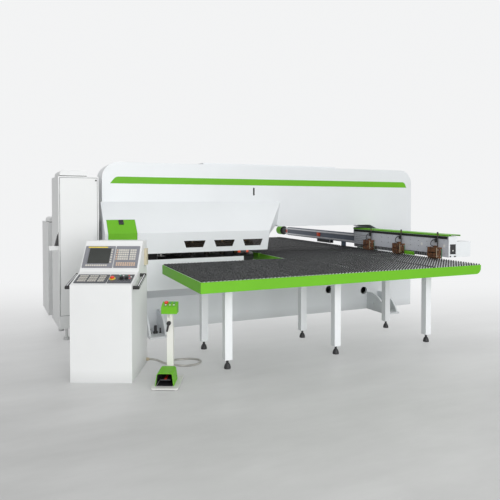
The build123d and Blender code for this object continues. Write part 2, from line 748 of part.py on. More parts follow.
with BuildPart() as hood_shell:
    add(hood_block)
    add(hood_space, mode=Mode.SUBTRACT)
    with BuildSketch(Plane.YZ.offset(HOOD_RIGHT_TOP)) as side_cut:
        with BuildLine():
            Polyline((-frame_face, HOOD_BOTTOM), (-frame_face, HOOD_SIDE_BACK),
                     (-frame_face - HOOD_REACH + HOOD_SIDE_FLANGE, HOOD_SIDE_FRONT),
                     (-frame_face - HOOD_LIP_REACH + HOOD_SIDE_FLANGE, HOOD_BOTTOM), close=True)
        make_face()
    extrude(side_cut.sketch, amount=-HOOD_REACH - HOOD_RIGHT_TOP, mode=Mode.SUBTRACT)

def door_pins(radius, length, mode=Mode.ADD):
    """Hinge pins at both ends of the door's lower edge, or their bores in the hood."""
    height = DOOR_BOTTOM + DOOR_PIN_UP
    reach = HOOD_LIP_REACH + (height - HOOD_BOTTOM) / tan(band_angle) - HOOD_WALL / 2
    for start, run in ((door_left, -length), (door_left + DOOR_WIDTH, length)):
        with BuildSketch(Plane.YZ.offset(start)) as pin:
            with Locations((-frame_face - reach, height)):
                Circle(radius)
        extrude(pin.sketch, amount=run, mode=mode)


with BuildPart() as turret_hood:
    add(hood_shell.part)
    for outline in trapezoids(0):
        extrude(outline, amount=HOOD_WALL * 3, both=True, mode=Mode.SUBTRACT)
    block(door_left - DOOR_GAP, door_left + DOOR_WIDTH + DOOR_GAP, -frame_face - 2 * HOOD_REACH, -frame_face,
          DOOR_BOTTOM - DOOR_GAP, DOOR_TOP + DOOR_GAP, Mode.SUBTRACT)
    door_pins(DOOR_PIN_RADIUS + RUNNING_GAP, DOOR_PIN_LENGTH + 1, Mode.SUBTRACT)
    block(SENSOR_X - SENSOR_LENGTH / 2, SENSOR_X + SENSOR_LENGTH / 2, -frame_face - HOOD_LIP_REACH,
          -frame_face - HOOD_LIP_REACH + SENSOR_SIZE, HOOD_BOTTOM - SENSOR_SIZE, HOOD_BOTTOM)
keep(turret_hood, "turret_hood")

with BuildPart() as hood_windows:
    for outline in trapezoids(PANE_BORDER):
        pane = extrude(outline, amount=-PANE_THICKNESS, mode=Mode.PRIVATE)
        add(pane.moved(Location(band_normal * -HOOD_WALL * 1.02)))
keep(hood_windows, "hood_windows")

with BuildPart() as access_door:
    add(hood_shell.part)
    block(door_left, door_left + DOOR_WIDTH, -frame_face - 2 * HOOD_REACH, -frame_face, DOOR_BOTTOM, DOOR_TOP,
          Mode.INTERSECT)
    door_pins(DOOR_PIN_RADIUS, DOOR_PIN_LENGTH)
    slope_normal = Vector(0, -sin(slope_angle), cos(slope_angle))
    door_top_reach = HOOD_BREAK_REACH + (HOOD_BREAK_HEIGHT - DOOR_TOP) / tan(slope_angle)
    latch_plane = Plane(origin=(door_left + DOOR_WIDTH / 2, -frame_face - door_top_reach, DOOR_TOP),
                        x_dir=(1, 0, 0), z_dir=slope_normal)
    latch_centre = (0, -LATCH_TOP_MARGIN - LATCH_HEIGHT / 2)
    with BuildSketch(latch_plane):
        with Locations(latch_centre):
            Circle(LATCH_PIN_RADIUS + RUNNING_GAP)
    extrude(amount=-3 * HOOD_WALL, mode=Mode.SUBTRACT)
keep(access_door, "access_door")

with BuildPart() as door_latch:
    with BuildSketch(latch_plane.offset(BODY_GAP)):
        with Locations(latch_centre):
            RectangleRounded(LATCH_WIDTH, LATCH_HEIGHT, 4)
    extrude(amount=LATCH_THICKNESS)
    with BuildSketch(latch_plane.offset(BODY_GAP + LATCH_THICKNESS)):
        with Locations(latch_centre):
            Rectangle(LATCH_WIDTH * 0.62, LATCH_HEIGHT * 0.6)
    extrude(amount=-LATCH_THICKNESS / 2, mode=Mode.SUBTRACT)
    with BuildSketch(latch_plane.offset(BODY_GAP)):
        with Locations(latch_centre):
            Circle(LATCH_PIN_RADIUS)
    extrude(amount=LATCH_THICKNESS)
    with BuildSketch(latch_plane.offset(BODY_GAP)):
        with Locations(latch_centre):
            Circle(LATCH_PIN_RADIUS)
    extrude(amount=-2 * HOOD_WALL)
keep(door_latch, "door_latch")


# Cover in front of the lower turret: a folded sheet with closed ends and an open top
def lower_cover_outline(inset):
    """Side view of the lower cover as (Y, Z) points, moved inwards by inset."""
    return [
        (-frame_face, LOWER_COVER_TOP + inset),
        (-frame_face - LOWER_COVER_REACH + inset, LOWER_COVER_TOP + inset),
        (-frame_face - LOWER_COVER_REACH + inset, LOWER_COVER_BREAK + 0.7 * inset),
        (-frame_face, LOWER_COVER_BOTTOM + 1.1 * inset),
    ]


def lower_cover_solid(inset):
    """Filled lower cover whose walls are moved inwards by inset."""
    with BuildPart() as solid:
        with BuildSketch(Plane.YZ.offset(hood_left + inset)):
            with BuildLine():
                Polyline(*lower_cover_outline(inset), close=True)
            make_face()
        extrude(amount=LOWER_COVER_RIGHT - hood_left - 2 * inset)
    return solid.part


with BuildPart() as lower_cover:
    add(lower_cover_solid(0))
    add(lower_cover_solid(HOOD_WALL), mode=Mode.SUBTRACT)
    block(hood_left, LOWER_COVER_RIGHT, -frame_face - LOWER_COVER_REACH, -frame_face - LOWER_COVER_REACH + 18,
          LOWER_COVER_TOP - HOOD_WALL, LOWER_COVER_TOP)
    block(LOWER_COVER_RIGHT - HOOD_WALL, LOWER_COVER_RIGHT, -TURRET_RADIUS, -frame_face,
          lower_turret_bottom - 10, LOWER_COVER_TOP, Mode.SUBTRACT)
keep(lower_cover, "lower_cover")

# The rear has the same two covers without windows and door
with BuildPart() as rear_covers:
    add(mirror(hood_shell.part, about=Plane.XZ, mode=Mode.PRIVATE))
    add(mirror(lower_cover.part, about=Plane.XZ, mode=Mode.PRIVATE))
keep(rear_covers, "rear_covers")

# Outer tables: green skirt frames with cross members, one in front and one behind
table_right = TABLE_LEFT + TABLE_LENGTH
table_back = TABLE_FRONT + TABLE_DEPTH
table_middle = TABLE_LEFT + TABLE_LENGTH / 2


def skirt_ring(left, right, near, far, corner):
    """Rectangular skirt between limits, with a plate seat inside its rim."""
    with BuildPart() as ring:
        with BuildSketch(Plane.XZ.offset(-far)):
            with Locations(((left + right) / 2, TABLE_TOP - SKIRT_HEIGHT / 2)):
                Rectangle(right - left, SKIRT_HEIGHT)
        extrude(amount=far - near)
        if corner:
            fillet(ring.edges().filter_by(Axis.Y).group_by(Axis.Z)[0].sort_by(Axis.X)[-1], corner)
        block(left + PLATE_RIM, right - PLATE_RIM, near + PLATE_RIM, far - PLATE_RIM, plate_bottom, TABLE_TOP,
              Mode.SUBTRACT)
        block(left + SKIRT_WALL, right - SKIRT_WALL, near + SKIRT_WALL, far - SKIRT_WALL,
              TABLE_TOP - SKIRT_HEIGHT, plate_bottom - LEDGE_THICKNESS, Mode.SUBTRACT)
        block(left + LEDGE_WIDTH, right - LEDGE_WIDTH, near + LEDGE_WIDTH, far - LEDGE_WIDTH,
              TABLE_TOP - SKIRT_HEIGHT, plate_bottom, Mode.SUBTRACT)
    return ring.part


with BuildPart() as front_skirt:
    add(skirt_ring(TABLE_LEFT, table_right, TABLE_FRONT, table_back, SKIRT_CORNER))
    for x in LEG_XS:
        block(x - LEG_SIZE / 2, x + LEG_SIZE / 2, TABLE_FRONT + SKIRT_WALL, table_back - SKIRT_WALL,
              plate_bottom - CROSS_MEMBER, plate_bottom)
with BuildPart() as table_skirts:
    add(front_skirt.part)
    add(mirror(front_skirt.part, about=Plane.XZ, mode=Mode.PRIVATE))
keep(table_skirts, "table_skirts")


def brush_plate(left, right, near, far):
    """Plate with rows of brush along X between limits."""
    rows = floor((far - near - 2 * BRUSH_MARGIN) / BRUSH_PITCH) + 1
    row_length = right - left - 2 * BRUSH_MARGIN
    with BuildPart() as plate:
        block(left, right, near, far, plate_bottom, TABLE_TOP)
        with BuildSketch(Plane.XY.offset(TABLE_TOP)):
            with Locations(((left + right) / 2, (near + far) / 2)):
                with GridLocations(row_length, BRUSH_PITCH, 1, rows):
                    Rectangle(row_length, BRUSH_WIDTH)
        extrude(amount=BRUSH_HEIGHT)
    return plate.part


with BuildPart() as outer_brush_plates:
    edges_x = (TABLE_LEFT + PLATE_RIM - SEAM_GAP / 2, *PLATE_SEAMS, table_right - PLATE_RIM + SEAM_GAP / 2)
    for left, right in zip(edges_x[:-1], edges_x[1:]):
        plate = brush_plate(left + SEAM_GAP / 2, right - SEAM_GAP / 2, TABLE_FRONT + PLATE_RIM, table_back - PLATE_RIM)
        add(plate)
        add(mirror(plate, about=Plane.XZ, mode=Mode.PRIVATE))
keep(outer_brush_plates, "outer_brush_plates")

# Square legs under the cross members, and their ball feet
leg_top = plate_bottom - CROSS_MEMBER
leg_points = [(x, side * y) for side in (1, -1) for x in LEG_XS for y in LEG_ROWS]
with BuildPart() as table_legs:
    with BuildSketch(Plane.XY.offset(LEG_FOOT_HEIGHT)):
        with Locations(*leg_points):
            Rectangle(LEG_SIZE, LEG_SIZE)
            Rectangle(LEG_SIZE - 2 * LEG_WALL, LEG_SIZE - 2 * LEG_WALL, mode=Mode.SUBTRACT)
    extrude(amount=leg_top - LEG_FOOT_HEIGHT)
    with BuildSketch(Plane.XY.offset(LEG_FOOT_HEIGHT)):
        with Locations(*leg_points):
            Rectangle(LEG_SIZE - LEG_WALL, LEG_SIZE - LEG_WALL)
    extrude(amount=LEG_WALL)
keep(table_legs, "table_legs")

with BuildPart() as levelling_feet:
    with BuildSketch(Plane.XZ) as foot_profile:
        with BuildLine():
            Line((0, 0), (LEG_FOOT_RADIUS, 0))
            Line((LEG_FOOT_RADIUS, 0), (LEG_FOOT_RADIUS, 10))
            Spline((LEG_FOOT_RADIUS, 10), (LEG_FOOT_RADIUS * 0.8, 40), (LEG_FOOT_STEM, 62))
            Line((LEG_FOOT_STEM, 62), (LEG_FOOT_STEM, LEG_FOOT_HEIGHT))
            Line((LEG_FOOT_STEM, LEG_FOOT_HEIGHT), (0, LEG_FOOT_HEIGHT))
            Line((0, LEG_FOOT_HEIGHT), (0, 0))
        make_face()
    foot = revolve(foot_profile.sketch, axis=Axis.Z, mode=Mode.PRIVATE)
    with Locations(*leg_points):
        add(foot)
keep(levelling_feet, "levelling_feet")

# Centre table through the throat, split by the two slots in which the beam's arms travel
with BuildPart() as centre_table_frame:
    add(skirt_ring(CENTRE_LEFT, table_right, -CENTRE_REACH, -ARM_SLOT_NEAR, 0))
    add(skirt_ring(CENTRE_LEFT, table_right, -ARM_SLOT_FAR, ARM_SLOT_FAR, 0))
    add(skirt_ring(CENTRE_LEFT, table_right, ARM_SLOT_NEAR, CENTRE_REACH, 0))
    for side in (-1, 1):
        near, far = sorted((side * ARM_SLOT_FAR, side * ARM_SLOT_NEAR))
        block(CENTRE_LEFT, CENTRE_LEFT + TIE_LENGTH, near, far, throat_bottom, throat_bottom + TIE_HEIGHT)
keep(centre_table_frame, "centre_table_frame")

with BuildPart() as centre_brush_plates:
    centre_limits = ((-CENTRE_REACH, -ARM_SLOT_NEAR), (-ARM_SLOT_FAR, ARM_SLOT_FAR), (ARM_SLOT_NEAR, CENTRE_REACH))
    centre_edges = (CENTRE_LEFT + PLATE_RIM - SEAM_GAP / 2, PLATE_SEAMS[-1], table_right - PLATE_RIM + SEAM_GAP / 2)
    for near, far in centre_limits:
        for left, right in zip(centre_edges[:-1], centre_edges[1:]):
            add(brush_plate(left + SEAM_GAP / 2, right - SEAM_GAP / 2, near + PLATE_RIM, far - PLATE_RIM))
keep(centre_brush_plates, "centre_brush_plates")

# Guide rails on the frame's faces, below the centre table
with BuildPart() as guide_rails:
    for side in (-1, 1):
        near, far = sorted((side * frame_face, side * (frame_face + GUIDE_DEPTH)))
        for bottom in (GUIDE_LOW, GUIDE_HIGH):
            block(GUIDE_LEFT, THROAT_RIGHT, near, far, bottom, bottom + GUIDE_HEIGHT)
keep(guide_rails, "guide_rails")

# Cross beam with the arms and runners that carry it, and its junction box
arm_x0 = beam_box_x
arm_x1 = beam_box_x + BEAM_WIDTH
arm_middle = (ARM_SLOT_NEAR + ARM_SLOT_FAR) / 2
middle = (arm_x0 + arm_x1) / 2
with BuildPart() as cross_beam:
    block(arm_x0, arm_x1, BEAM_NEAR_Y, BEAM_FAR_Y, BEAM_BOTTOM, beam_top)
    block(arm_x0 + BEAM_WALL, arm_x1 - BEAM_WALL, BEAM_NEAR_Y, BEAM_FAR_Y, BEAM_BOTTOM + BEAM_WALL,
          beam_top - BEAM_WALL, Mode.SUBTRACT)
    for side in (-1, 1):
        near, far = sorted((side * (arm_middle - ARM_THICKNESS / 2), side * (arm_middle + ARM_THICKNESS / 2)))
        block(arm_x0, arm_x1, near, far, GUIDE_LOW, BEAM_BOTTOM)
        runner_start = frame_face + GUIDE_DEPTH + BODY_GAP
        near, far = sorted((side * runner_start, side * (runner_start + RUNNER_THICKNESS)))
        block(middle - RUNNER_LENGTH / 2, middle + RUNNER_LENGTH / 2, near, far, GUIDE_LOW - 8,
              GUIDE_HIGH + GUIDE_HEIGHT + 8)
    block(arm_x1, arm_x1 + JUNCTION_SETBACK, JUNCTION_NEAR_Y, JUNCTION_NEAR_Y + JUNCTION_LENGTH,
          JUNCTION_BOTTOM, JUNCTION_BOTTOM + 60)
    block(arm_x1 + JUNCTION_SETBACK, arm_x1 + JUNCTION_SETBACK + JUNCTION_DEPTH, JUNCTION_NEAR_Y,
          JUNCTION_NEAR_Y + JUNCTION_LENGTH, JUNCTION_BOTTOM, JUNCTION_TOP)
    block(middle - TRUNKING_WIDTH / 2, middle + TRUNKING_WIDTH / 2, TRUNKING_NEAR_Y, TRUNKING_NEAR_Y + TRUNKING_LENGTH,
          BEAM_BOTTOM - TRUNKING_HEIGHT, BEAM_BOTTOM)
keep(cross_beam, "cross_beam")

with BuildPart() as beam_rails:
    for bottom in rail_zs:
        block(beam_box_x - RAIL_DEPTH, beam_box_x, BEAM_NEAR_Y, BEAM_FAR_Y, bottom, bottom + RAIL_HEIGHT)
keep(beam_rails, "beam_rails")

# End plates: a flat plate with a dark panel and a box beside it at the near end, a flange at the far end
end_top = CARRIAGE_TOP - 1
end_centre_x = beam_box_x + BEAM_WIDTH / 2
end_plate_right = BEAM_FACE_X + END_PLATE_WIDTH
end_centre_z = BEAM_BOTTOM + BEAM_HEIGHT / 2
with BuildPart() as beam_end_plates:
    block(BEAM_FACE_X, end_plate_right, BEAM_NEAR_Y - END_PLATE_THICKNESS, BEAM_NEAR_Y,
          CARRIAGE_BOTTOM, end_top)
    block(BEAM_FACE_X + 22, BEAM_FACE_X + 22 + END_PANEL_WIDTH, BEAM_NEAR_Y - END_PLATE_THICKNESS,
          BEAM_NEAR_Y - END_PLATE_THICKNESS + END_PANEL_DEPTH, END_PANEL_BOTTOM, END_PANEL_BOTTOM + END_PANEL_HEIGHT,
          Mode.SUBTRACT)
    block(end_plate_right, end_plate_right + END_BOX_WIDTH, BEAM_NEAR_Y - END_PLATE_THICKNESS,
          BEAM_NEAR_Y - END_PLATE_THICKNESS + END_BOX_DEPTH, CARRIAGE_BOTTOM, END_BOX_TOP)
    block(end_centre_x - MOTOR_FLANGE_SIZE / 2, end_centre_x + MOTOR_FLANGE_SIZE / 2, BEAM_FAR_Y,
          BEAM_FAR_Y + MOTOR_FLANGE_LENGTH, end_centre_z - MOTOR_FLANGE_HEIGHT / 2,
          end_centre_z + MOTOR_FLANGE_HEIGHT / 2)
keep(beam_end_plates, "beam_end_plates")

# Motor of the carriage in line with the beam, with a wider drum at its end
motor_start = BEAM_FAR_Y + MOTOR_FLANGE_LENGTH
with BuildPart() as carriage_motor:
    for start, length, radius in (
        (motor_start, CARRIAGE_MOTOR_LENGTH, CARRIAGE_MOTOR_RADIUS),
        (motor_start + CARRIAGE_MOTOR_LENGTH, MOTOR_DRUM_LENGTH, MOTOR_DRUM_RADIUS),
    ):
        with BuildSketch(Plane.XZ.offset(-start)):
            with Locations((end_centre_x, end_centre_z)):
                Circle(radius)
        extrude(amount=-length)
    chamfer(carriage_motor.edges().group_by(Axis.Y)[-1], MOTOR_DRUM_RADIUS / 7)
keep(carriage_motor, "carriage_motor")

# Position switch between the rails
with BuildPart() as position_switch:
    block(beam_box_x - RAIL_DEPTH - 6, beam_box_x, SWITCH_Y, SWITCH_Y + SWITCH_LENGTH,
          rail_zs[0] + RAIL_HEIGHT + 8, rail_zs[1] - 8)
    with BuildSketch(Plane.YZ.offset(beam_box_x - RAIL_DEPTH - 6)):
        with Locations((SWITCH_Y + SWITCH_LENGTH / 2, end_centre_z)):
            Circle(SWITCH_LENGTH / 4)
    extrude(amount=-8)
keep(position_switch, "position_switch")

# Clamp carriage: perforated face plate, web and top flange, with runner blocks at the beam's rails
carriage_inner = BEAM_FACE_X + CARRIAGE_PLATE
holes_along = floor(CARRIAGE_LENGTH / PERFORATION_PITCH) - 1
with BuildPart() as clamp_carriage:
    block(BEAM_FACE_X, carriage_inner, carriage_near, carriage_far, CARRIAGE_BOTTOM, CARRIAGE_PLATE_TOP)
    with BuildSketch(Plane.YZ.offset(BEAM_FACE_X)):
        with Locations(((carriage_near + carriage_far) / 2, (CARRIAGE_BOTTOM + CARRIAGE_PLATE_TOP) / 2 + 30)):
            with GridLocations(PERFORATION_PITCH, 70, holes_along, 2):
                Circle(PERFORATION_RADIUS)
    extrude(amount=CARRIAGE_PLATE, mode=Mode.SUBTRACT)
    block(carriage_inner, carriage_inner + CARRIAGE_PLATE, carriage_near, carriage_far, beam_top + 10, CARRIAGE_TOP)
    block(BEAM_FACE_X, BEAM_FACE_X + CARRIAGE_FLANGE_WIDTH, carriage_near, carriage_far,
          CARRIAGE_TOP - CARRIAGE_PLATE, CARRIAGE_TOP)
    block_ys = [carriage_near + share * CARRIAGE_LENGTH for share in (0.08, 0.5, 0.92)]
    for y in block_ys:
        for bottom in rail_zs:
            block(carriage_inner, beam_box_x - RAIL_DEPTH - BODY_GAP, y - CARRIAGE_BLOCK_LENGTH / 2,
                  y + CARRIAGE_BLOCK_LENGTH / 2, bottom - 4, bottom + RAIL_HEIGHT + 4)
    duct_bottom = CARRIAGE_PLATE_TOP + 1
    block(carriage_inner - DUCT_THICKNESS, carriage_inner, carriage_near + 10, carriage_far - 10, duct_bottom,
          duct_bottom + DUCT_HEIGHT)
keep(clamp_carriage, "clamp_carriage")

with BuildPart() as beam_cover:
    cover_left = BEAM_FACE_X - 15
    block(cover_left, cover_left + COVER_WIDTH, carriage_near - COVER_OVERLAP, carriage_far + 5, CARRIAGE_TOP,
          CARRIAGE_TOP + COVER_HEIGHT)
    block(cover_left + COVER_WALL, cover_left + 40, carriage_near - COVER_OVERLAP, carriage_far + 5, CARRIAGE_TOP,
          CARRIAGE_TOP + COVER_HEIGHT - COVER_WALL, Mode.SUBTRACT)
    block(cover_left + 46, cover_left + COVER_WIDTH - COVER_WALL, carriage_near - COVER_OVERLAP, carriage_far + 5,
          CARRIAGE_TOP, CARRIAGE_TOP + COVER_HEIGHT - COVER_WALL, Mode.SUBTRACT)
keep(beam_cover, "beam_cover")

# Clamps: body with lower jaw and cheeks, a post on it, and a port block on the face plate for its hose
post_x = BEAM_FACE_X - 15 - 3 - POST_RADIUS
clamp_front = BEAM_FACE_X - CLAMP_DEPTH
jaw_front = clamp_front + 2
jaw_bottom = clamp_bottom + LOWER_JAW + JAW_GAP
jaw_back = jaw_front + JAW_DEPTH
jaw_pin = (jaw_front + JAW_PIN_BACK, jaw_bottom + JAW_PIN_UP)
with BuildPart() as clamp_bodies:
    for y in CLAMP_YS:
        block(clamp_front, BEAM_FACE_X, y - CLAMP_WIDTH / 2, y + CLAMP_WIDTH / 2, clamp_bottom, clamp_top)
        block(clamp_front, jaw_back + 6, y - CLAMP_WIDTH / 2 + CLAMP_CHEEK, y + CLAMP_WIDTH / 2 - CLAMP_CHEEK,
              clamp_bottom + LOWER_JAW, jaw_bottom + JAW_HEIGHT + 12, Mode.SUBTRACT)
        block(clamp_front, jaw_back, y - CLAMP_WIDTH / 2, y + CLAMP_WIDTH / 2, clamp_bottom + LOWER_JAW, jaw_bottom,
              Mode.SUBTRACT)
        with BuildSketch(Plane.XZ.offset(-y)):
            with Locations(jaw_pin):
                Circle(JAW_PIN_RADIUS + RUNNING_GAP)
        extrude(amount=CLAMP_WIDTH / 2, both=True, mode=Mode.SUBTRACT)
        with BuildSketch(Plane.XY.offset(clamp_top)):
            with Locations((jaw_pin[0], y - 30)):
                Rectangle(24, 34)
        extrude(amount=24)
        rod(post_x, y + POST_OFFSET, clamp_top, POST_TOP, POST_RADIUS)
        block(BEAM_FACE_X - 27, BEAM_FACE_X, y + 17 - PORT_SIZE, y + 17, CARRIAGE_PLATE_TOP - PORT_HEIGHT,
              CARRIAGE_PLATE_TOP)
keep(clamp_bodies, "clamp_bodies")

# Upper jaw of each clamp on its pin
for number, y in enumerate(CLAMP_YS, start=1):
    with BuildPart() as clamp_jaw:
        half = CLAMP_WIDTH / 2 - CLAMP_CHEEK - JAW_SIDE_GAP
        block(jaw_front, jaw_back, y - half, y + half, jaw_bottom, jaw_bottom + JAW_HEIGHT)
        with BuildSketch(Plane.XZ.offset(-y)):
            with Locations(jaw_pin):
                Circle(JAW_PIN_RADIUS)
        extrude(amount=CLAMP_WIDTH / 2, both=True)
    keep(clamp_jaw, f"clamp_jaw_{number}")


def tube_radii(points):
    """Radius of each inner corner of a tube's route: as large as its two runs allow."""
    radii = []
    for before, corner, after in zip(points[:-2], points[1:-1], points[2:]):
        first = Vector(*corner) - Vector(*before)
        second = Vector(*after) - Vector(*corner)
        half_turn = radians(first.get_angle(second)) / 2
        radii.append(0.45 * min(first.length, second.length) / tan(half_turn))
    return radii


def tube(points, radius):
    """Solid tube along straight runs joined by tangent arcs."""
    with BuildPart() as piece:
        with BuildLine() as route:
            FilletPolyline(*points, radius=tube_radii(points))
        with BuildSketch(Plane(origin=route.line @ 0, z_dir=route.line % 0)):
            Circle(radius)
        sweep(path=route.line)
    return piece.part


with BuildPart() as clamp_hoses:
    for y in CLAMP_YS:
        hose_z = CARRIAGE_PLATE_TOP - 18
        elbow_z = clamp_top + 13
        add(tube([
            (BEAM_FACE_X - 10, y + 17, hose_z),
            (BEAM_FACE_X - 10, y + 47, hose_z),
            (BEAM_FACE_X - 13, y + 74, hose_z - 5),
            (BEAM_FACE_X - 21, y + 86, hose_z - 27),
            (BEAM_FACE_X - 37, y + 82, elbow_z + 22),
            (jaw_pin[0], y + 47, elbow_z),
            (jaw_pin[0], y - 13, elbow_z),
        ], HOSE_RADIUS))
keep(clamp_hoses, "clamp_hoses")

with BuildPart() as reference_stop:
    block(BEAM_FACE_X - STOP_BLOCK_DEPTH, BEAM_FACE_X, STOP_BLOCK_Y - STOP_BLOCK_LENGTH / 2,
          STOP_BLOCK_Y + STOP_BLOCK_LENGTH / 2, clamp_bottom, clamp_bottom + STOP_BLOCK_HEIGHT)
    chamfer(reference_stop.edges().filter_by(Axis.Y).group_by(Axis.Z)[-1].sort_by(Axis.X)[0], 10)
keep(reference_stop, "reference_stop")

# Operator console: folded cabinet with a screen slope and a key slope, turned towards the operator
console = turned(CONSOLE_X, CONSOLE_Y, STATION_YAW)
console_side = side_view(console)
key_slope = atan2(CONSOLE_KNEE_HEIGHT - CONSOLE_FRONT_HEIGHT, CONSOLE_KNEE_DEPTH)
screen_slope = atan2(CONSOLE_HEIGHT - CONSOLE_KNEE_HEIGHT, CONSOLE_TOP_DEPTH - CONSOLE_KNEE_DEPTH)


def slope_plane(depth, height, slope):
    """Plane lying on a sloping face of the console, its Y pointing up the slope."""
    origin = console.from_local_coords(Vector(0, depth, height))
    normal = console.y_dir * -sin(slope) + Vector(0, 0, cos(slope))
    return Plane(origin=origin, x_dir=console.x_dir, z_dir=normal)


key_plane = slope_plane(0, CONSOLE_FRONT_HEIGHT, key_slope)
screen_plane = slope_plane(CONSOLE_KNEE_DEPTH, CONSOLE_KNEE_HEIGHT, screen_slope)


def console_section(inset):
    """Side view of the console as (depth, height), shrunk by inset."""
    with BuildSketch(console_side) as section:
        with BuildLine():
            Polyline(
                (0, 0),
                (0, CONSOLE_FRONT_HEIGHT),
                (CONSOLE_KNEE_DEPTH, CONSOLE_KNEE_HEIGHT),
                (CONSOLE_TOP_DEPTH, CONSOLE_HEIGHT),
                (CONSOLE_DEPTH, CONSOLE_HEIGHT),
                (CONSOLE_DEPTH, 0),
                close=True,
            )
        make_face()
        if inset:
            offset(amount=-inset, kind=Kind.INTERSECTION)
    return section.sketch


console_back = Plane(origin=console.from_local_coords(Vector(0, CONSOLE_DEPTH, 0)), x_dir=console.x_dir * -1,
                     z_dir=console.y_dir)
console_door_middle = CONSOLE_DOOR_BOTTOM + CONSOLE_DOOR_HEIGHT / 2
with BuildPart() as console_cabinet:
    extrude(console_section(0), amount=CONSOLE_WIDTH / 2, both=True)
    extrude(console_section(CONSOLE_WALL), amount=CONSOLE_WIDTH / 2 - CONSOLE_WALL, both=True, mode=Mode.SUBTRACT)
    with BuildSketch(console_back):
        with Locations((0, console_door_middle)):
            Rectangle(CONSOLE_DOOR_WIDTH - 40, CONSOLE_DOOR_HEIGHT - 40)
    extrude(amount=-2 * CONSOLE_WALL, mode=Mode.SUBTRACT)
    with BuildSketch(key_plane):
        with Locations((ESTOP_X, CONTROL_RISE + PANEL_RISE)):
            Circle(ESTOP_STEM_RADIUS + 2)
        with Locations((FEED_KNOB_X, CONTROL_RISE + PANEL_RISE), (MODE_KNOB_X, CONTROL_RISE + PANEL_RISE)):
            Circle(6)
    extrude(amount=-2 * CONSOLE_WALL, mode=Mode.SUBTRACT)
keep(console_cabinet, "console_cabinet")

with BuildPart() as console_door:
    with BuildSketch(console_back.offset(BODY_GAP)):
        with Locations((0, console_door_middle)):
            Rectangle(CONSOLE_DOOR_WIDTH, CONSOLE_DOOR_HEIGHT)
    extrude(amount=CONSOLE_DOOR_THICKNESS)
    with BuildSketch(console_back.offset(BODY_GAP + CONSOLE_DOOR_THICKNESS)):
        with Locations((CONSOLE_DOOR_WIDTH / 2 - 35, console_door_middle)):
            Circle(LOCK_RADIUS)
    extrude(amount=6)
    for share in (0.12, 0.5, 0.88):
        with BuildSketch(moved(console, CONSOLE_DOOR_WIDTH / 2, CONSOLE_DEPTH + BODY_GAP + CONSOLE_DOOR_THICKNESS,
                               CONSOLE_DOOR_BOTTOM + share * CONSOLE_DOOR_HEIGHT - CONSOLE_BARREL_LENGTH / 2)):
            Circle(CONSOLE_BARREL_RADIUS)
        extrude(amount=CONSOLE_BARREL_LENGTH)
keep(console_door, "console_door")


def slope_box(plane, left, width, rise, height, base, thickness, mode=Mode.ADD):
    """Add a box on a sloping face, given by its left and lower edges on that face."""
    with BuildSketch(plane.offset(base)) as outline:
        with Locations((left + width / 2, rise + height / 2)):
            Rectangle(width, height)
    extrude(outline.sketch, amount=thickness, mode=mode)


def key_grid(plane, left, rise, columns, rows, pitch_x, pitch_y, size, base):
    """Add a block of keys on a sloping face."""
    with BuildSketch(plane.offset(base)) as keys:
        with Locations((left + (columns - 1) * pitch_x / 2, rise + (rows - 1) * pitch_y / 2)):
            with GridLocations(pitch_x, pitch_y, columns, rows):
                Rectangle(size, size)
    extrude(keys.sketch, amount=KEY_HEIGHT)


with BuildPart() as screen_unit:
    slope_box(screen_plane, SCREEN_LEFT, SCREEN_WIDTH, UNIT_RISE, UNIT_HEIGHT, 0, UNIT_THICKNESS)
    slope_box(screen_plane, SCREEN_LEFT + 34, SCREEN_GLASS_WIDTH, UNIT_RISE + 52, SCREEN_GLASS_HEIGHT,
              UNIT_THICKNESS - 4, 4, Mode.SUBTRACT)
    key_grid(screen_plane, SCREEN_LEFT + 42, UNIT_RISE + 22, 10, 1, 22, 22, KEY_SIZE, UNIT_THICKNESS)
    key_grid(screen_plane, SCREEN_LEFT + SCREEN_WIDTH - 24, UNIT_RISE + 62, 1, 6, 22, 28, KEY_SIZE, UNIT_THICKNESS)
keep(screen_unit, "screen_unit")

with BuildPart() as keypad_unit:
    slope_box(screen_plane, KEYPAD_LEFT, KEYPAD_WIDTH, UNIT_RISE, UNIT_HEIGHT, 0, UNIT_THICKNESS)
    key_grid(screen_plane, KEYPAD_LEFT + 36, UNIT_RISE + 96, 5, 5, 22, 26, 17, UNIT_THICKNESS)
    key_grid(screen_plane, KEYPAD_LEFT + 156, UNIT_RISE + 96, 3, 5, 22, 26, 17, UNIT_THICKNESS)
    key_grid(screen_plane, KEYPAD_LEFT + 36, UNIT_RISE + 28, 8, 2, 24, 26, 17, UNIT_THICKNESS)
keep(keypad_unit, "keypad_unit")

with BuildPart() as operator_panels:
    slope_box(key_plane, LEFT_PANEL_LEFT, LEFT_PANEL_WIDTH, PANEL_RISE, PANEL_HEIGHT, 0, PANEL_THICKNESS)
    for k in range(3):
        key_grid(key_plane, LEFT_PANEL_LEFT + 34 + k * 98, PANEL_RISE + 32, 4 if k < 2 else 3, 4, 21, 34, 16,
                 PANEL_THICKNESS)
    slope_box(key_plane, RIGHT_PANEL_LEFT, RIGHT_PANEL_WIDTH, PANEL_RISE, PANEL_HEIGHT, 0, PANEL_THICKNESS)
    with BuildSketch(key_plane.offset(PANEL_THICKNESS)):
        with Locations((ESTOP_X, CONTROL_RISE + PANEL_RISE)):
            Circle(ESTOP_RING_RADIUS)
    extrude(amount=3)
    with BuildSketch(key_plane):
        with Locations((ESTOP_X, CONTROL_RISE + PANEL_RISE)):
            Circle(ESTOP_STEM_RADIUS + RUNNING_GAP)
        with Locations((FEED_KNOB_X, CONTROL_RISE + PANEL_RISE), (MODE_KNOB_X, CONTROL_RISE + PANEL_RISE)):
            Circle(4 + RUNNING_GAP)
    extrude(amount=2 * PANEL_THICKNESS, mode=Mode.SUBTRACT)
keep(operator_panels, "operator_panels")


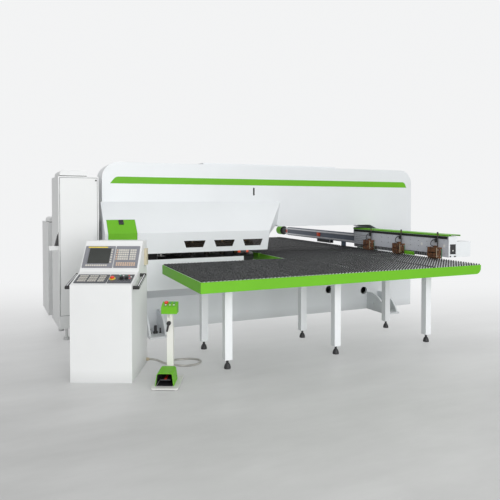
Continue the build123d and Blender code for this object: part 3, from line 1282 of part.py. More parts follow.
def mushroom(plane, x, rise, base):
    """Push button with a stem through its panel and a round head that can travel down."""
    with BuildPart() as button:
        with BuildSketch(plane.offset(base - 10)):
            with Locations((x, rise)):
                Circle(ESTOP_STEM_RADIUS)
        extrude(amount=12 + ESTOP_TRAVEL)
        with BuildSketch(plane.offset(base + ESTOP_TRAVEL + 1)):
            with Locations((x, rise)):
                Circle(ESTOP_RADIUS)
        extrude(amount=14)
        top_edges = button.edges().filter_by(GeomType.CIRCLE).sort_by(SortBy.RADIUS)[-2:]
        chamfer(top_edges.sort_by(Axis(plane.origin, plane.z_dir))[-1], 5)
    return button


console_estop = mushroom(key_plane, ESTOP_X, CONTROL_RISE + PANEL_RISE, PANEL_THICKNESS + 3)
keep(console_estop, "console_estop")

for label, x in (("feed_knob", FEED_KNOB_X), ("mode_knob", MODE_KNOB_X)):
    with BuildPart() as knob:
        with BuildSketch(key_plane.offset(1)):
            with Locations((x, CONTROL_RISE + PANEL_RISE)):
                Circle(4)
        extrude(amount=PANEL_THICKNESS)
        with BuildSketch(key_plane.offset(PANEL_THICKNESS + BODY_GAP)):
            with Locations((x, CONTROL_RISE + PANEL_RISE)):
                Circle(KNOB_RADIUS)
        extrude(amount=KNOB_HEIGHT)
        with BuildSketch(key_plane.offset(PANEL_THICKNESS + BODY_GAP + KNOB_HEIGHT)):
            with Locations((x, CONTROL_RISE + PANEL_RISE)):
                Rectangle(5, 1.8 * KNOB_RADIUS)
        extrude(amount=4)
    keep(knob, label)

# Grab handles on the console's sides: a bar between two stand-offs
handle_run = hypot(HANDLE_END[0] - HANDLE_START[0], HANDLE_END[1] - HANDLE_START[1])
handle_angle = degrees(atan2(HANDLE_END[1] - HANDLE_START[1], HANDLE_END[0] - HANDLE_START[0]))
with BuildPart() as console_handles:
    for side in (-1, 1):
        wall = side * CONSOLE_WIDTH / 2
        face = Plane(origin=console.from_local_coords(Vector(wall, 0, 0)), x_dir=console.y_dir,
                     z_dir=console.x_dir)
        with BuildSketch(face):
            with Locations(HANDLE_START, HANDLE_END):
                Circle(HANDLE_RADIUS)
        extrude(amount=side * HANDLE_STANDOFF)
        with BuildSketch(face.offset(side * (HANDLE_STANDOFF - HANDLE_RADIUS))):
            middle = ((HANDLE_START[0] + HANDLE_END[0]) / 2, (HANDLE_START[1] + HANDLE_END[1]) / 2)
            with Locations(middle):
                SlotOverall(handle_run + 2 * HANDLE_RADIUS, 2 * HANDLE_RADIUS, rotation=handle_angle)
        extrude(amount=side * 2 * HANDLE_RADIUS)
keep(console_handles, "console_handles")

# Pedal stand: base plate with the lower post, pads, hood, pedal and height-adjustable control box
stand = turned(PEDAL_X, PEDAL_Y, STATION_YAW)
base_top = PEDAL_PAD_HEIGHT + PEDAL_BASE_HEIGHT
lower_post = moved(stand, 0, POST_BACK, 0)
with BuildPart(stand) as pedal_base:
    with BuildSketch(stand.offset(PEDAL_PAD_HEIGHT)):
        RectangleRounded(PEDAL_BASE_WIDTH, PEDAL_BASE_DEPTH, 20)
    extrude(amount=PEDAL_BASE_HEIGHT)
    with BuildSketch(stand):
        with GridLocations(PEDAL_BASE_WIDTH - 50, PEDAL_BASE_DEPTH - 50, 2, 2):
            Circle(PEDAL_PAD_RADIUS)
    extrude(amount=PEDAL_PAD_HEIGHT)
    with BuildSketch(lower_post.offset(base_top)):
        RectangleRounded(POST_SIZE, POST_SIZE, 4)
        Rectangle(POST_SIZE - 2 * POST_WALL, POST_SIZE - 2 * POST_WALL, mode=Mode.SUBTRACT)
    extrude(amount=LOWER_POST_TOP - base_top)
keep(pedal_base, "pedal_base")

hood_plane = moved(stand, PEDAL_HOOD_X, PEDAL_HOOD_FRONT, 0)
hood_front_plane = Plane(origin=moved(hood_plane, 0, 0, base_top).origin, x_dir=stand.x_dir, z_dir=stand.y_dir * -1)


def pedal_hood_section(inset):
    """Front view of the pedal hood, open below, narrowing to the top."""
    half = PEDAL_HOOD_WIDTH / 2
    with BuildSketch(hood_front_plane) as section:
        with BuildLine():
            Polyline((-half + inset, 0), (half - inset, 0), (half - 14 - inset, PEDAL_HOOD_HEIGHT - inset),
                     (-half + 14 + inset, PEDAL_HOOD_HEIGHT - inset), close=True)
        make_face()
        fillet(section.vertices().group_by(Axis.Y)[-1], PEDAL_HOOD_CORNER - inset)
    return section.sketch


pivot_plane = Plane(origin=stand.from_local_coords(Vector(PEDAL_HOOD_X, PEDAL_PIVOT_BACK, base_top + PEDAL_PIVOT_UP)),
                    x_dir=stand.y_dir, z_dir=stand.x_dir)
with BuildPart() as pedal_hood:
    extrude(pedal_hood_section(0), amount=-PEDAL_HOOD_DEPTH)
    extrude(pedal_hood_section(PEDAL_HOOD_WALL), amount=-PEDAL_HOOD_DEPTH + PEDAL_HOOD_WALL, mode=Mode.SUBTRACT)
    with BuildSketch(pivot_plane):
        Circle(PEDAL_PIN_RADIUS + RUNNING_GAP)
    extrude(amount=PEDAL_HOOD_WIDTH, both=True, mode=Mode.SUBTRACT)
keep(pedal_hood, "pedal_hood")

with BuildPart() as foot_pedal:
    with BuildSketch(pivot_plane):
        with BuildLine():
            Polyline(
                (-PEDAL_LENGTH, 6),
                (-PEDAL_LENGTH + 8, 0),
                (-20, -8),
                (10, -10),
                (10, 10),
                (-20, 8),
                (-PEDAL_LENGTH + 4, PEDAL_THICKNESS + 4),
                close=True,
            )
        make_face()
    extrude(amount=PEDAL_WIDTH / 2, both=True)
    with BuildSketch(pivot_plane):
        Circle(PEDAL_PIN_RADIUS)
    extrude(amount=PEDAL_HOOD_WIDTH / 2 - 1, both=True)
keep(foot_pedal, "foot_pedal")

inner_post = POST_SIZE - 2 * POST_WALL - 2 * BODY_GAP
box_plane = moved(stand, 0, POST_BACK + POST_SIZE / 2 - BOX_DEPTH, 0)
box_side = side_view(box_plane)
with BuildPart() as station_post:
    with BuildSketch(lower_post.offset(UPPER_POST_BOTTOM)):
        Rectangle(inner_post, inner_post)
        Rectangle(inner_post - 2 * POST_WALL, inner_post - 2 * POST_WALL, mode=Mode.SUBTRACT)
    extrude(amount=BOX_BOTTOM - UPPER_POST_BOTTOM)
    with BuildSketch(box_side):
        with BuildLine():
            Polyline((6, BOX_BOTTOM), (BOX_DEPTH - POST_SIZE + POST_WALL + 6, BOX_BOTTOM),
                     (BOX_DEPTH - POST_SIZE + POST_WALL + 6, BOX_BOTTOM - 60), close=True)
        make_face()
    extrude(amount=3, both=True)
keep(station_post, "station_post")

box_slope = atan2(BOX_BACK_HEIGHT - BOX_FRONT_HEIGHT, BOX_DEPTH)
box_top_plane = Plane(origin=box_plane.from_local_coords(Vector(0, 0, BOX_BOTTOM + BOX_FRONT_HEIGHT)),
                      x_dir=stand.x_dir, z_dir=stand.y_dir * -sin(box_slope) + Vector(0, 0, cos(box_slope)))
box_rise = BOX_DEPTH / cos(box_slope) / 2
with BuildPart() as station_box:
    with BuildSketch(box_side):
        with BuildLine():
            Polyline((0, BOX_BOTTOM), (0, BOX_BOTTOM + BOX_FRONT_HEIGHT),
                     (BOX_DEPTH, BOX_BOTTOM + BOX_BACK_HEIGHT), (BOX_DEPTH, BOX_BOTTOM), close=True)
        make_face()
    extrude(amount=BOX_WIDTH / 2, both=True)
    fillet(station_box.edges().filter_by(Axis.Z), 5)
    for column in (0, 1):
        for row in (0, 1, 2):
            with BuildSketch(box_top_plane):
                with Locations((column * 44 + 4, box_rise - 34 + row * 34)):
                    Circle(BOX_BUTTON_RADIUS)
            extrude(amount=6)
    with BuildSketch(box_top_plane):
        with Locations((BOX_ESTOP_X, box_rise + 18)):
            Circle(ESTOP_STEM_RADIUS + RUNNING_GAP)
    extrude(amount=-20, mode=Mode.SUBTRACT)
keep(station_box, "station_box")

station_estop = mushroom(box_top_plane, BOX_ESTOP_X, box_rise + 18, BODY_GAP)
keep(station_estop, "station_estop")

# Clamping lever on the inner post, above the lower post's mouth
lever_plane = Plane(origin=lower_post.from_local_coords(Vector(-8, -inner_post / 2, LEVER_Z)),
                    x_dir=stand.x_dir, z_dir=stand.y_dir * -1)
with BuildPart() as clamp_lever:
    with BuildSketch(lever_plane.offset(BODY_GAP)):
        Circle(LEVER_HUB_RADIUS)
    extrude(amount=LEVER_THICKNESS)
    with BuildSketch(lever_plane.offset(BODY_GAP + LEVER_THICKNESS / 3)):
        with Locations(Location((-LEVER_LENGTH * 0.12, -LEVER_LENGTH / 2, 0), 0)):
            SlotOverall(LEVER_LENGTH + 14, 18, rotation=78)
    extrude(amount=LEVER_THICKNESS / 2)
keep(clamp_lever, "clamp_lever")

# Flexible conduit: out of the console, one loop on the floor, and into the back of the post
console_gland = console.from_local_coords(Vector(CONSOLE_WIDTH / 2, CONSOLE_GLAND_DEPTH, CONSOLE_GLAND_Z))
post_gland = lower_post.from_local_coords(Vector(0, POST_SIZE / 2, POST_GLAND_Z))
with BuildPart() as conduit_glands:
    for origin, direction in ((console_gland, console.x_dir), (post_gland, stand.y_dir)):
        with BuildSketch(Plane(origin=origin, z_dir=direction)):
            RegularPolygon(GLAND_RADIUS, 6)
        extrude(amount=GLAND_LENGTH * 0.6)
        with BuildSketch(Plane(origin=origin, z_dir=direction)):
            Circle(CONDUIT_RADIUS + 3)
        extrude(amount=GLAND_LENGTH)
keep(conduit_glands, "conduit_glands")

conduit_start = console_gland + console.x_dir * GLAND_LENGTH
conduit_end = post_gland + stand.y_dir * GLAND_LENGTH
floor_z = CONDUIT_RADIUS + 1
CONDUIT_ROUTE = [
    (-2070, -1850, floor_z),
    (-1990, -1925, floor_z),
    (-1920, -1990, floor_z),
    (-1830, -2012, floor_z),
    (-1745, -1985, floor_z),
    (-1695, -1915, floor_z),
    (-1712, -1832, floor_z),
    (-1785, -1778, floor_z),
    (-1872, -1778, floor_z + 4),
    (-1950, -1818, 32),
    (-2006, -1884, 46),
    (-2040, -1968, 44),
    (-2060, -2060, 46),
]
conduit_points = [
    tuple(conduit_start),
    tuple(conduit_start + console.x_dir * CONDUIT_LEAD),
    *CONDUIT_ROUTE,
    tuple(conduit_end + stand.y_dir * CONDUIT_LEAD),
    tuple(conduit_end),
]
with BuildPart() as conduit:
    add(tube(conduit_points, CONDUIT_RADIUS))
keep(conduit, "conduit")
print("conduit radii", [round(r) for r in tube_radii(conduit_points)])

# Electrical cabinet: a tall shell on feet with a full-height door in its front
cabinet = turned(-FRAME_LENGTH / 2 - CABINET_SETOUT, CABINET_Y, CABINET_YAW)
cabinet_middle = moved(cabinet, CABINET_WIDTH / 2, CABINET_DEPTH / 2, 0)
door_bottom = CABINET_BOTTOM + CABINET_PLINTH
door_top = CABINET_TOP - CABINET_BORDER
door_width = CABINET_WIDTH - 2 * CABINET_BORDER
cabinet_front = Plane(origin=cabinet.from_local_coords(Vector(CABINET_WIDTH / 2, 0, (door_bottom + door_top) / 2)),
                      x_dir=cabinet.x_dir, z_dir=cabinet.y_dir * -1)
switch_face = Plane(origin=cabinet.from_local_coords(Vector(0, MAIN_SWITCH_DEPTH / 2 + 12, MAIN_SWITCH_Z)),
                    x_dir=(0, 0, 1), z_dir=cabinet.y_dir)


def feet(middle, width, depth, height):
    """Add four round feet under a cabinet."""
    for level, radius in ((CABINET_FOOT_PAD, CABINET_FOOT_RADIUS), (height, CABINET_FOOT_STEM)):
        with BuildSketch(middle) as pads:
            with GridLocations(width - 2 * CABINET_FOOT_INSET, depth - 2 * CABINET_FOOT_INSET, 2, 2):
                Circle(radius)
        extrude(pads.sketch, amount=level)


# The cabinet's left side also carries the main switch and a holder below it
with BuildPart() as electrical_cabinet:
    with BuildSketch(cabinet_middle.offset(CABINET_BOTTOM)):
        Rectangle(CABINET_WIDTH, CABINET_DEPTH)
    extrude(amount=CABINET_TOP - CABINET_BOTTOM)
    with BuildSketch(cabinet_middle.offset(CABINET_BOTTOM + CABINET_WALL)):
        with Locations((0, (CABINET_DOOR_THICKNESS - CABINET_WALL) / 2)):
            Rectangle(CABINET_WIDTH - 2 * CABINET_WALL, CABINET_DEPTH - CABINET_DOOR_THICKNESS - 3 * CABINET_WALL)
    extrude(amount=CABINET_TOP - CABINET_BOTTOM - 2 * CABINET_WALL, mode=Mode.SUBTRACT)
    with BuildSketch(cabinet_front):
        Rectangle(door_width + 2 * CABINET_DOOR_GAP, door_top - door_bottom + 2 * CABINET_DOOR_GAP)
    extrude(amount=-CABINET_DOOR_THICKNESS - BODY_GAP, mode=Mode.SUBTRACT)
    with BuildSketch(cabinet_front):
        Rectangle(door_width - 2 * CABINET_FLANGE, door_top - door_bottom - 2 * CABINET_FLANGE)
    extrude(amount=-CABINET_DOOR_THICKNESS - 3 * CABINET_WALL, mode=Mode.SUBTRACT)
    with BuildSketch(switch_face) as wedge:
        with BuildLine():
            Polyline((0, 0), (MAIN_SWITCH_HEIGHT, 0), (0, -MAIN_SWITCH_REACH), close=True)
        make_face()
    extrude(wedge.sketch, amount=MAIN_SWITCH_DEPTH / 2, both=True)
    with BuildSketch(switch_face) as holder:
        with Locations((-HOLDER_SIZE / 2, -HOLDER_SIZE)):
            Rectangle(HOLDER_SIZE, 2 * HOLDER_SIZE)
    extrude(holder.sketch, amount=HOLDER_SIZE / 3, both=True)
    feet(cabinet_middle, CABINET_WIDTH, CABINET_DEPTH, CABINET_BOTTOM)
keep(electrical_cabinet, "electrical_cabinet")

with BuildPart() as cabinet_door:
    with BuildSketch(cabinet_front):
        Rectangle(door_width, door_top - door_bottom)
    extrude(amount=-CABINET_DOOR_THICKNESS)
    with BuildSketch(cabinet_front):
        with Locations((door_width / 2 - 16, (door_top - door_bottom) / 2 - 30),
                       (door_width / 2 - 16, -(door_top - door_bottom) / 2 + 30)):
            Circle(LOCK_RADIUS)
    extrude(amount=4)
    for share in (0.08, 0.5, 0.92):
        with BuildSketch(moved(cabinet, CABINET_BORDER, 0,
                               door_bottom + share * (door_top - door_bottom) - CABINET_BARREL_LENGTH / 2)):
            Circle(CABINET_BARREL_RADIUS)
        extrude(amount=CABINET_BARREL_LENGTH)
keep(cabinet_door, "cabinet_door")

# Power unit: a lower cabinet behind, with plain closed sides
unit = turned(-FRAME_LENGTH / 2 - UNIT_SETOUT, UNIT_Y, CABINET_YAW)
unit_middle = moved(unit, UNIT_WIDTH / 2, UNIT_DEPTH / 2, 0)
with BuildPart() as power_unit:
    with BuildSketch(unit_middle.offset(UNIT_BOTTOM)):
        Rectangle(UNIT_WIDTH, UNIT_DEPTH)
    extrude(amount=UNIT_TOP - UNIT_BOTTOM)
    with BuildSketch(unit_middle.offset(UNIT_BOTTOM + CABINET_WALL)):
        Rectangle(UNIT_WIDTH - 2 * CABINET_WALL, UNIT_DEPTH - 2 * CABINET_WALL)
    extrude(amount=UNIT_TOP - UNIT_BOTTOM - 2 * CABINET_WALL, mode=Mode.SUBTRACT)
    feet(unit_middle, UNIT_WIDTH, UNIT_DEPTH, UNIT_BOTTOM)
keep(power_unit, "power_unit")


def cowl(base, top, depth):
    """Rounded roof cowl on four short spacers."""
    front = Plane(origin=base.from_local_coords(Vector(COWL_MARGIN + COWL_WIDTH / 2, COWL_MARGIN, top + COWL_GAP)),
                  x_dir=base.x_dir, z_dir=base.y_dir * -1)
    with BuildPart() as piece:
        with BuildSketch(front) as outline:
            with Locations((0, COWL_HEIGHT / 2)):
                Rectangle(COWL_WIDTH, COWL_HEIGHT)
            fillet(outline.vertices().group_by(Axis.Y)[-1], COWL_CORNER)
        extrude(amount=-depth)
        middle = moved(base, COWL_MARGIN + COWL_WIDTH / 2, COWL_MARGIN + depth / 2, top)
        with BuildSketch(middle):
            with GridLocations(COWL_WIDTH - 50, depth - 50, 2, 2):
                Circle(10)
        extrude(amount=COWL_GAP)
    return piece.part


with BuildPart() as roof_cowls:
    add(cowl(cabinet, CABINET_TOP, COWL_DEPTH))
    add(cowl(unit, UNIT_TOP, COWL_DEPTH))
keep(roof_cowls, "roof_cowls")
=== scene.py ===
"""Looks of the turret punch press: paints, brush tufts, controls, hoses, floor, light and camera.

Lengths are millimetres in the frame of the part, and MM turns them into metres. The floor, the
lamps, the lengths of the cords and the scales inside materials are in metres.
"""

import math
import random

import bmesh
import bpy
from mathutils import Matrix, Vector


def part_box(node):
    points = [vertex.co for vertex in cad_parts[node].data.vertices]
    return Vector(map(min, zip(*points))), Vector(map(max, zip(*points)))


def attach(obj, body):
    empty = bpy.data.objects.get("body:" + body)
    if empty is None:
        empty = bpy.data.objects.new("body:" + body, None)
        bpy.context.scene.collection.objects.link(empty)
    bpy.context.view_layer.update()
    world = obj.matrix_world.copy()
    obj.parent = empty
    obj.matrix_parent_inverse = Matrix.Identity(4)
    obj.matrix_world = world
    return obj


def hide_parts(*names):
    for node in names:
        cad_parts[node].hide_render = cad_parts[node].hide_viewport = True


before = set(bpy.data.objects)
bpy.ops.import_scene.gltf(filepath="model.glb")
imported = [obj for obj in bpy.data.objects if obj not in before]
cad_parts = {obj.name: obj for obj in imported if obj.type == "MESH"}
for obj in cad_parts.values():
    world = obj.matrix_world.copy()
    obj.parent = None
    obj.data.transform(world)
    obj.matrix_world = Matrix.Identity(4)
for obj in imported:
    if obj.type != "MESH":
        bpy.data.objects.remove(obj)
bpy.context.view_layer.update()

MM = 0.001
random.seed(7)

# Camera, as solved from the straight edges in the photograph
CAMERA_PLACE = (-3369, -7127, 1700)
CAMERA_YAW = 23.249
CAMERA_DOWN = 1.22
IMAGE_SIZE = 500
FOCAL_PIXELS = 512.878
AXIS_ROW = 214.157
SENSOR_WIDTH = 36

# Main frame: its front face, the green stripe, the black grip and the painted shade in the gap under the
# hood
FRAME_FACE = -285
STRIPE_BOTTOM = 1959
STRIPE_TOP = 2049
STRIPE_LEFT = (-2408, -2337)
STRIPE_RIGHT = (2408, 2365)
STRIPE_CORNER = 45
STRIPE_THICKNESS = 0.8
GRIP_X = -369
GRIP_TOP = 1927
GRIP_HEIGHT = 115
GRIP_WIDTH = 26
GRIP_CLEARANCE = 0.3
GRIP_PROUD = 1
GRIP_DEPTH = 10
GAP_SPAN = (-2505, -1795)
GAP_TOP = 1240
GAP_FRONT_BOTTOM = 930
GAP_REAR_BOTTOM = 985
SHADE_SHEET_THICKNESS = 2

# Sensor bar on the hood's lower edge: half lengths of its dark middle and of the whole bar
HOOD_BOTTOM = 1060
HOOD_LIP_Y = -685
SENSOR_X = -700
SENSOR_SIZE = 26
SENSOR_MIDDLE = 42
SENSOR_HALF = 76

# Tables: tufts, plates, and the two ribs that cross the centre table
TABLE_TOP = 970
TUFT_HEIGHT = 15
TUFT_PITCH = 40
TUFT_ROOT = 6
TUFT_CROWN = 9.0
TUFT_SIDES = 7
TUFT_MARGIN = 8
TUFT_LEAN = 1.5
CROWN_SPREAD = (0.82, 1.06)
CROWN_DROP = (0.2, 4.0)
MIDDLE_DROP = 1.5
PLATE_THICKNESS = 12
PLATE_SEAMS = (-979, -73, 834)
SEAM_GAP = 4
RIM = 5
RIB_INSIDE = 295
RIB_OUTSIDE = 345

# Console: a turned cabinet whose slopes carry the controls
CONSOLE_PLACE = (-2761.5, -2146)
STATION_YAW = -24.25
CONSOLE_WIDTH = 589
CONSOLE_DEPTH = 650
CONSOLE_FRONT = 927
KNEE = (272, 1020)
CREST = (489, 1309)
KEY_HEIGHT = 4
SCREEN_LEFT = -279
KEYPAD_LEFT = 37
UNIT_RISE = 42
UNIT_THICKNESS = 12
GLASS_CORNERS = ((46, 44), (264, 224))
STRIP_CORNERS = ((26, 229), (225, 241))
PANEL_LEFT = -272
PANEL_RISE = 40
PANEL_PITCH = 98
PANEL_THICKNESS = 8
ESTOP_X = 79
RING_RADII = (31, 29)
RING_HEIGHT = 4
RING_SINK = 0.2
SCALE_X = 168
SCALE_RADIUS = 30
SCALE_HEIGHT = 1.6
CONTROL_RISE = 122
BLACK_BUTTONS = ((147, 78), (175, 78), (203, 78), (231, 78), (255, 78))
RED_BUTTONS = ((247, 122), (231, 176))
GREEN_BUTTONS = ((147, 176), (203, 176))
WHITE_BUTTONS = ((175, 176), (255, 150), (134, 200))
RIM_RADIUS = 10.5
RIM_HEIGHT = 3
CAP_RADIUS = 7.5
CAP_HEIGHT = 4
RED_CAP_HEIGHT = 5
HANDLE_ENDS = ((48, 898), (345, 977))
HANDLE_SLEEVE = ((64, 902.3), (196, 937.4), (329, 972.7))
HANDLE_OFFSET = 48
HANDLE_END_LENGTH = 60.5
HANDLE_END_RADIUS = 17
SLEEVE_DIAMETER = 26
SIDE_STRIP_DEPTHS = (530, 598)
SIDE_STRIP_HEIGHTS = (1054, 1227)
SIDE_STRIP_THICKNESS = 26
# Dark band round the foot of the console: painted shade of the shadow gap there
BASE_SHADE_INSET = 3
BASE_SHADE_HEIGHTS = (0.5, 9)

# Pedal stand: heights on its base are measured from BASE_TOP
STAND_PLACE = (-2187, -2415)
BASE_TOP = 22
POST_REAR = 179
BOX_BOTTOM = 644
BOX_DEPTH = 110
BOX_FRONT = 64
BOX_BACK = 100
STATION_WHITE_BUTTONS = ((-37, 38), (3, 38), (42, 38))
STATION_GREEN_BUTTONS = ((3, 82), (42, 82))
STATION_RIM_RADIUS = 11
STATION_RIM_HEIGHT = 3.5
STATION_CAP_RADIUS = 8
HOOD_MIDDLE = -8
HOOD_HALF = 79.5
HOOD_HEIGHT = 111.5
HOOD_NEAR = -126
HOOD_DEPTH = 206
SHOULDER = 22
SHOULDER_ANGLES = (0.4, 0.8, 1.2, 1.57)
# Dark sheet on the base inside the hood: painted shade
HOOD_FLOOR_SHADE = ((-80, -124, 0), (64, 78, 1.5))
PEDAL_MARK = ((-18, -86, 40), (2, 34, 53.5))
PEDAL_BAR = ((-40, -88, 38), (20, -80, 44))

# Cabinet and power unit: shadow under the cowls, switch, and the gap around the door
CABINET_PLACE = (-3047, -480)
UNIT_PLACE = (-3125, 900)
CABINET_YAW = 4
CABINET_COWL = 2032
UNIT_COWL = 1420
SHADOW_CORNERS = ((30, 30), (340, 530))
SHADOW_HEIGHT = 9
SWITCH_OUTLINE = ((-43, 1180), (0.5, 1180), (0.5, 1356))
SWITCH_LENGTH = 62
SWITCH_DEPTH = 73
SEAM_OUTSIDE = (11.5, 462, 317, 2016)
SEAM_INSIDE = (15.2, 458.2, 321, 2012.2)
SEAM_THICKNESS = 0.8
LOCK_X = 444
LOCK_HEIGHTS = (1984, 351)
LOCK_RADIUS = 10
LOCK_PROUD = 6
LOCK_LENGTH = 4

# Clamp beam: face of the clamp carriage, near end of the beam, clamps, posts and hoses
BEAM_FACE = 1505
BEAM_END = -2158
END_PANEL = ((1529, BEAM_END, 1050), (1623, BEAM_END + 2, 1177))
END_BOLT = (1576, BEAM_END - 3, 1095)
END_BOLT_RADIUS = 8
END_SENSORS = (((1524, BEAM_END - 3, 1014), (1546, BEAM_END, 1032)),
               ((1592, BEAM_END - 3, 1014), (1626, BEAM_END, 1029)))
CARRIAGE_NEAR = -2150
CARRIAGE_FAR = -100
# Dark strip under the cover's top edge: painted shade of the recess there
STRIP_HEIGHTS = (1241, 1274)
STRIP_INSET = 9
SPOT_YS = (-2084, -1674)
SPOT_Z = 1152
SPOT_RADIUS = 20
SPOT_DEPTH = 1
BOLT_YS = range(CARRIAGE_NEAR + 60, CARRIAGE_FAR, 128)
BOLT_ZS = (1052, 1228)
BOLT_RADIUS = 6
BOLT_LENGTH = 4
HOLE_YS = range(-470, -120, 29)
HOLE_ZS = range(1072, 1215, 29)
HOLE_RADIUS = 5.5
HOLE_PROUD = 0.6
HOLE_DEPTH = 0.8
TRACK_SPANS = ((-1864, -1346), (-1154, -646), (-454, -120))
# The black track band is the rail, made taller so that it also carries painted shade under the carriage
# plate
TRACK_HEIGHTS = (1000, 1044)
TRACK_DEPTH = 10
NUT_HEIGHTS = (1006, 1036)
NUT_HALF = 6
NUT_PITCH = 34
NUT_MARGIN = 14
CLAMP_YS = (-550, -1250, -1960)
CLAMP_NEAR = -86
CLAMP_TOP = 1130
PAD_SPAN = (1498, 1505)
PAD_HEIGHTS = (990, 1108)
EDGE_SPAN = (1414, 1418)
EDGE_BOTTOM = 1004
SIDE_SCREWS = ((1438, 1020), (1438, 1100), (1486, 1020), (1486, 1100))
SIDE_SCREW_RADIUS = 7
SIDE_SCREW_LENGTH = 4
TOP_SCREW_XS = (1436, 1484)
TOP_SCREW_Y = 44
TOP_SCREW_RADIUS = 8
TOP_SCREW_LENGTH = 7
POST_X = 1480
POST_Y = -33
POST_RADIUS = 7.6
POST_HEIGHT = 150
KNOB_Z = 1300
KNOB_RADIUS = 11
KNOB_HEIGHT = 27
PORT_LOW = (-27.6, -13.6, 1189.6)
PORT_HIGH = (-0.4, 17.6, 1240.4)
JAW_X = 1452
HOSE_Z = 1222
ELBOW_RISE = 13
HOSE_DIAMETER = 10

# Far end of the beam
MOTOR_AXIS_Z = 1125
DRUM_PLACE = (1580, 2571, MOTOR_AXIS_Z)
DRUM_RADIUS = 87.6
DRUM_LENGTH = 193.6
FLANGE_PLACE = (1528, 2347, MOTOR_AXIS_Z)
FLANGE_RADIUS = 36
TRUNKING_LOW = (1544, 700, 991)
TRUNKING_HIGH = (1616, 1150, 1045.6)
TRUNKING_CAP = 12
TRUNKING_SKIN = 0.4

# Conduit, the same route as the part's
CONDUIT_DIAMETER = 22
CONDUIT_LEAD = 60
GLAND_LENGTH = 34
CONSOLE_GLAND = (CONSOLE_WIDTH / 2, 620, 40)
POST_GLAND = (0, POST_REAR, 62)
CONDUIT_FLOOR = 12
CONDUIT_ROUTE = [
    (-2070, -1850, CONDUIT_FLOOR),
    (-1990, -1925, CONDUIT_FLOOR),
    (-1920, -1990, CONDUIT_FLOOR),
    (-1830, -2012, CONDUIT_FLOOR),
    (-1745, -1985, CONDUIT_FLOOR),
    (-1695, -1915, CONDUIT_FLOOR),
    (-1712, -1832, CONDUIT_FLOOR),
    (-1785, -1778, CONDUIT_FLOOR),
    (-1872, -1778, CONDUIT_FLOOR + 4),
    (-1950, -1818, 32),
    (-2006, -1884, 46),
    (-2040, -1968, 44),
    (-2060, -2060, 46),
]

# Bevel width of the folded and machined nodes
SOFT_EDGES = {
    "turret_hood": 2.0,
    "lower_cover": 2.0,
    "console_cabinet": 2.5,
    "table_skirts": 2.5,
    "centre_table_frame": 2.0,
    "beam_cover": 1.2,
    "electrical_cabinet": 2.5,
    "power_unit": 2.5,
    "table_legs": 3.0,
    "cross_beam": 2.0,
    "cabinet_door": 1.5,
    "screen_unit": 2.0,
    "keypad_unit": 2.0,
    "operator_panels": 1.5,
    "station_box": 2.0,
    "access_door": 1.5,
    "clamp_bodies": 1.5,
}

# Floor, backdrop and lamps, in metres: a lamp has a name, its place, its target, its size and its power
FLOOR_SPAN = (-16.0, 12.0)
FLOOR_HALF = 34.0
SWEEP_RADIUS = 6.0
SWEEP_STEPS = 12
WALL_TOP = 30.0
FLOOR_DARK = (0.46, 0.465, 0.46)
FLOOR_LIGHT = (0.60, 0.605, 0.60)
BACKDROP = (0.895, 0.90, 0.905)
FADE_START = -5.2
FADE_END = 3.2
WORLD_STRENGTH = 0.66
LAMPS = (
    ("key", (0.0, -14.0, 4.2), (0, -1, 0.9), 8.0, 640),
    ("top", (1.5, 0.5, 8.5), (0, 0, 0.5), 8.0, 80),
    ("low_front", (-2.5, -11.0, 0.9), (0, 0, 0.4), 5.0, 250),
)


# Materials
def new_material(name, colour, roughness, metallic=0.0, variation=0.06, patch=1.2, grain=900.0,
                 grain_depth=0.02, rough_spread=0.08, coat=0.0, specular=0.5):
    """Painted or moulded surface: slow colour drift, uneven gloss and a fine skin in the normal."""
    material = bpy.data.materials.new(name)
    material.use_nodes = True
    nodes = material.node_tree.nodes
    links = material.node_tree.links
    shader = nodes["Principled BSDF"]
    shader.inputs["Metallic"].default_value = metallic
    shader.inputs["Coat Weight"].default_value = coat
    shader.inputs["Specular IOR Level"].default_value = specular
    place = nodes.new("ShaderNodeTexCoord")
    drift = nodes.new("ShaderNodeTexNoise")
    drift.inputs["Scale"].default_value = patch
    drift.inputs["Detail"].default_value = 5
    drift.inputs["Roughness"].default_value = 0.6
    links.new(place.outputs["Object"], drift.inputs["Vector"])
    tint = nodes.new("ShaderNodeValToRGB")
    tint.name = "tint"
    tint.color_ramp.elements[0].position = 0.3
    tint.color_ramp.elements[1].position = 0.7
    tint.color_ramp.elements[0].color = [c * (1 - variation) for c in colour] + [1]
    tint.color_ramp.elements[1].color = [min(1, c * (1 + variation)) for c in colour] + [1]
    links.new(drift.outputs["Fac"], tint.inputs["Fac"])
    links.new(tint.outputs["Color"], shader.inputs["Base Color"])
    gloss = nodes.new("ShaderNodeMapRange")
    gloss.inputs["To Min"].default_value = max(0.02, roughness - rough_spread)
    gloss.inputs["To Max"].default_value = min(1.0, roughness + rough_spread)
    links.new(drift.outputs["Fac"], gloss.inputs["Value"])
    links.new(gloss.outputs["Result"], shader.inputs["Roughness"])
    skin = nodes.new("ShaderNodeTexNoise")
    skin.inputs["Scale"].default_value = grain
    skin.inputs["Detail"].default_value = 2
    links.new(place.outputs["Object"], skin.inputs["Vector"])
    bump = nodes.new("ShaderNodeBump")
    bump.name = "bump"
    bump.inputs["Strength"].default_value = 0.25
    bump.inputs["Distance"].default_value = grain_depth * MM
    links.new(skin.outputs["Fac"], bump.inputs["Height"])
    links.new(bump.outputs["Normal"], shader.inputs["Normal"])
    return material


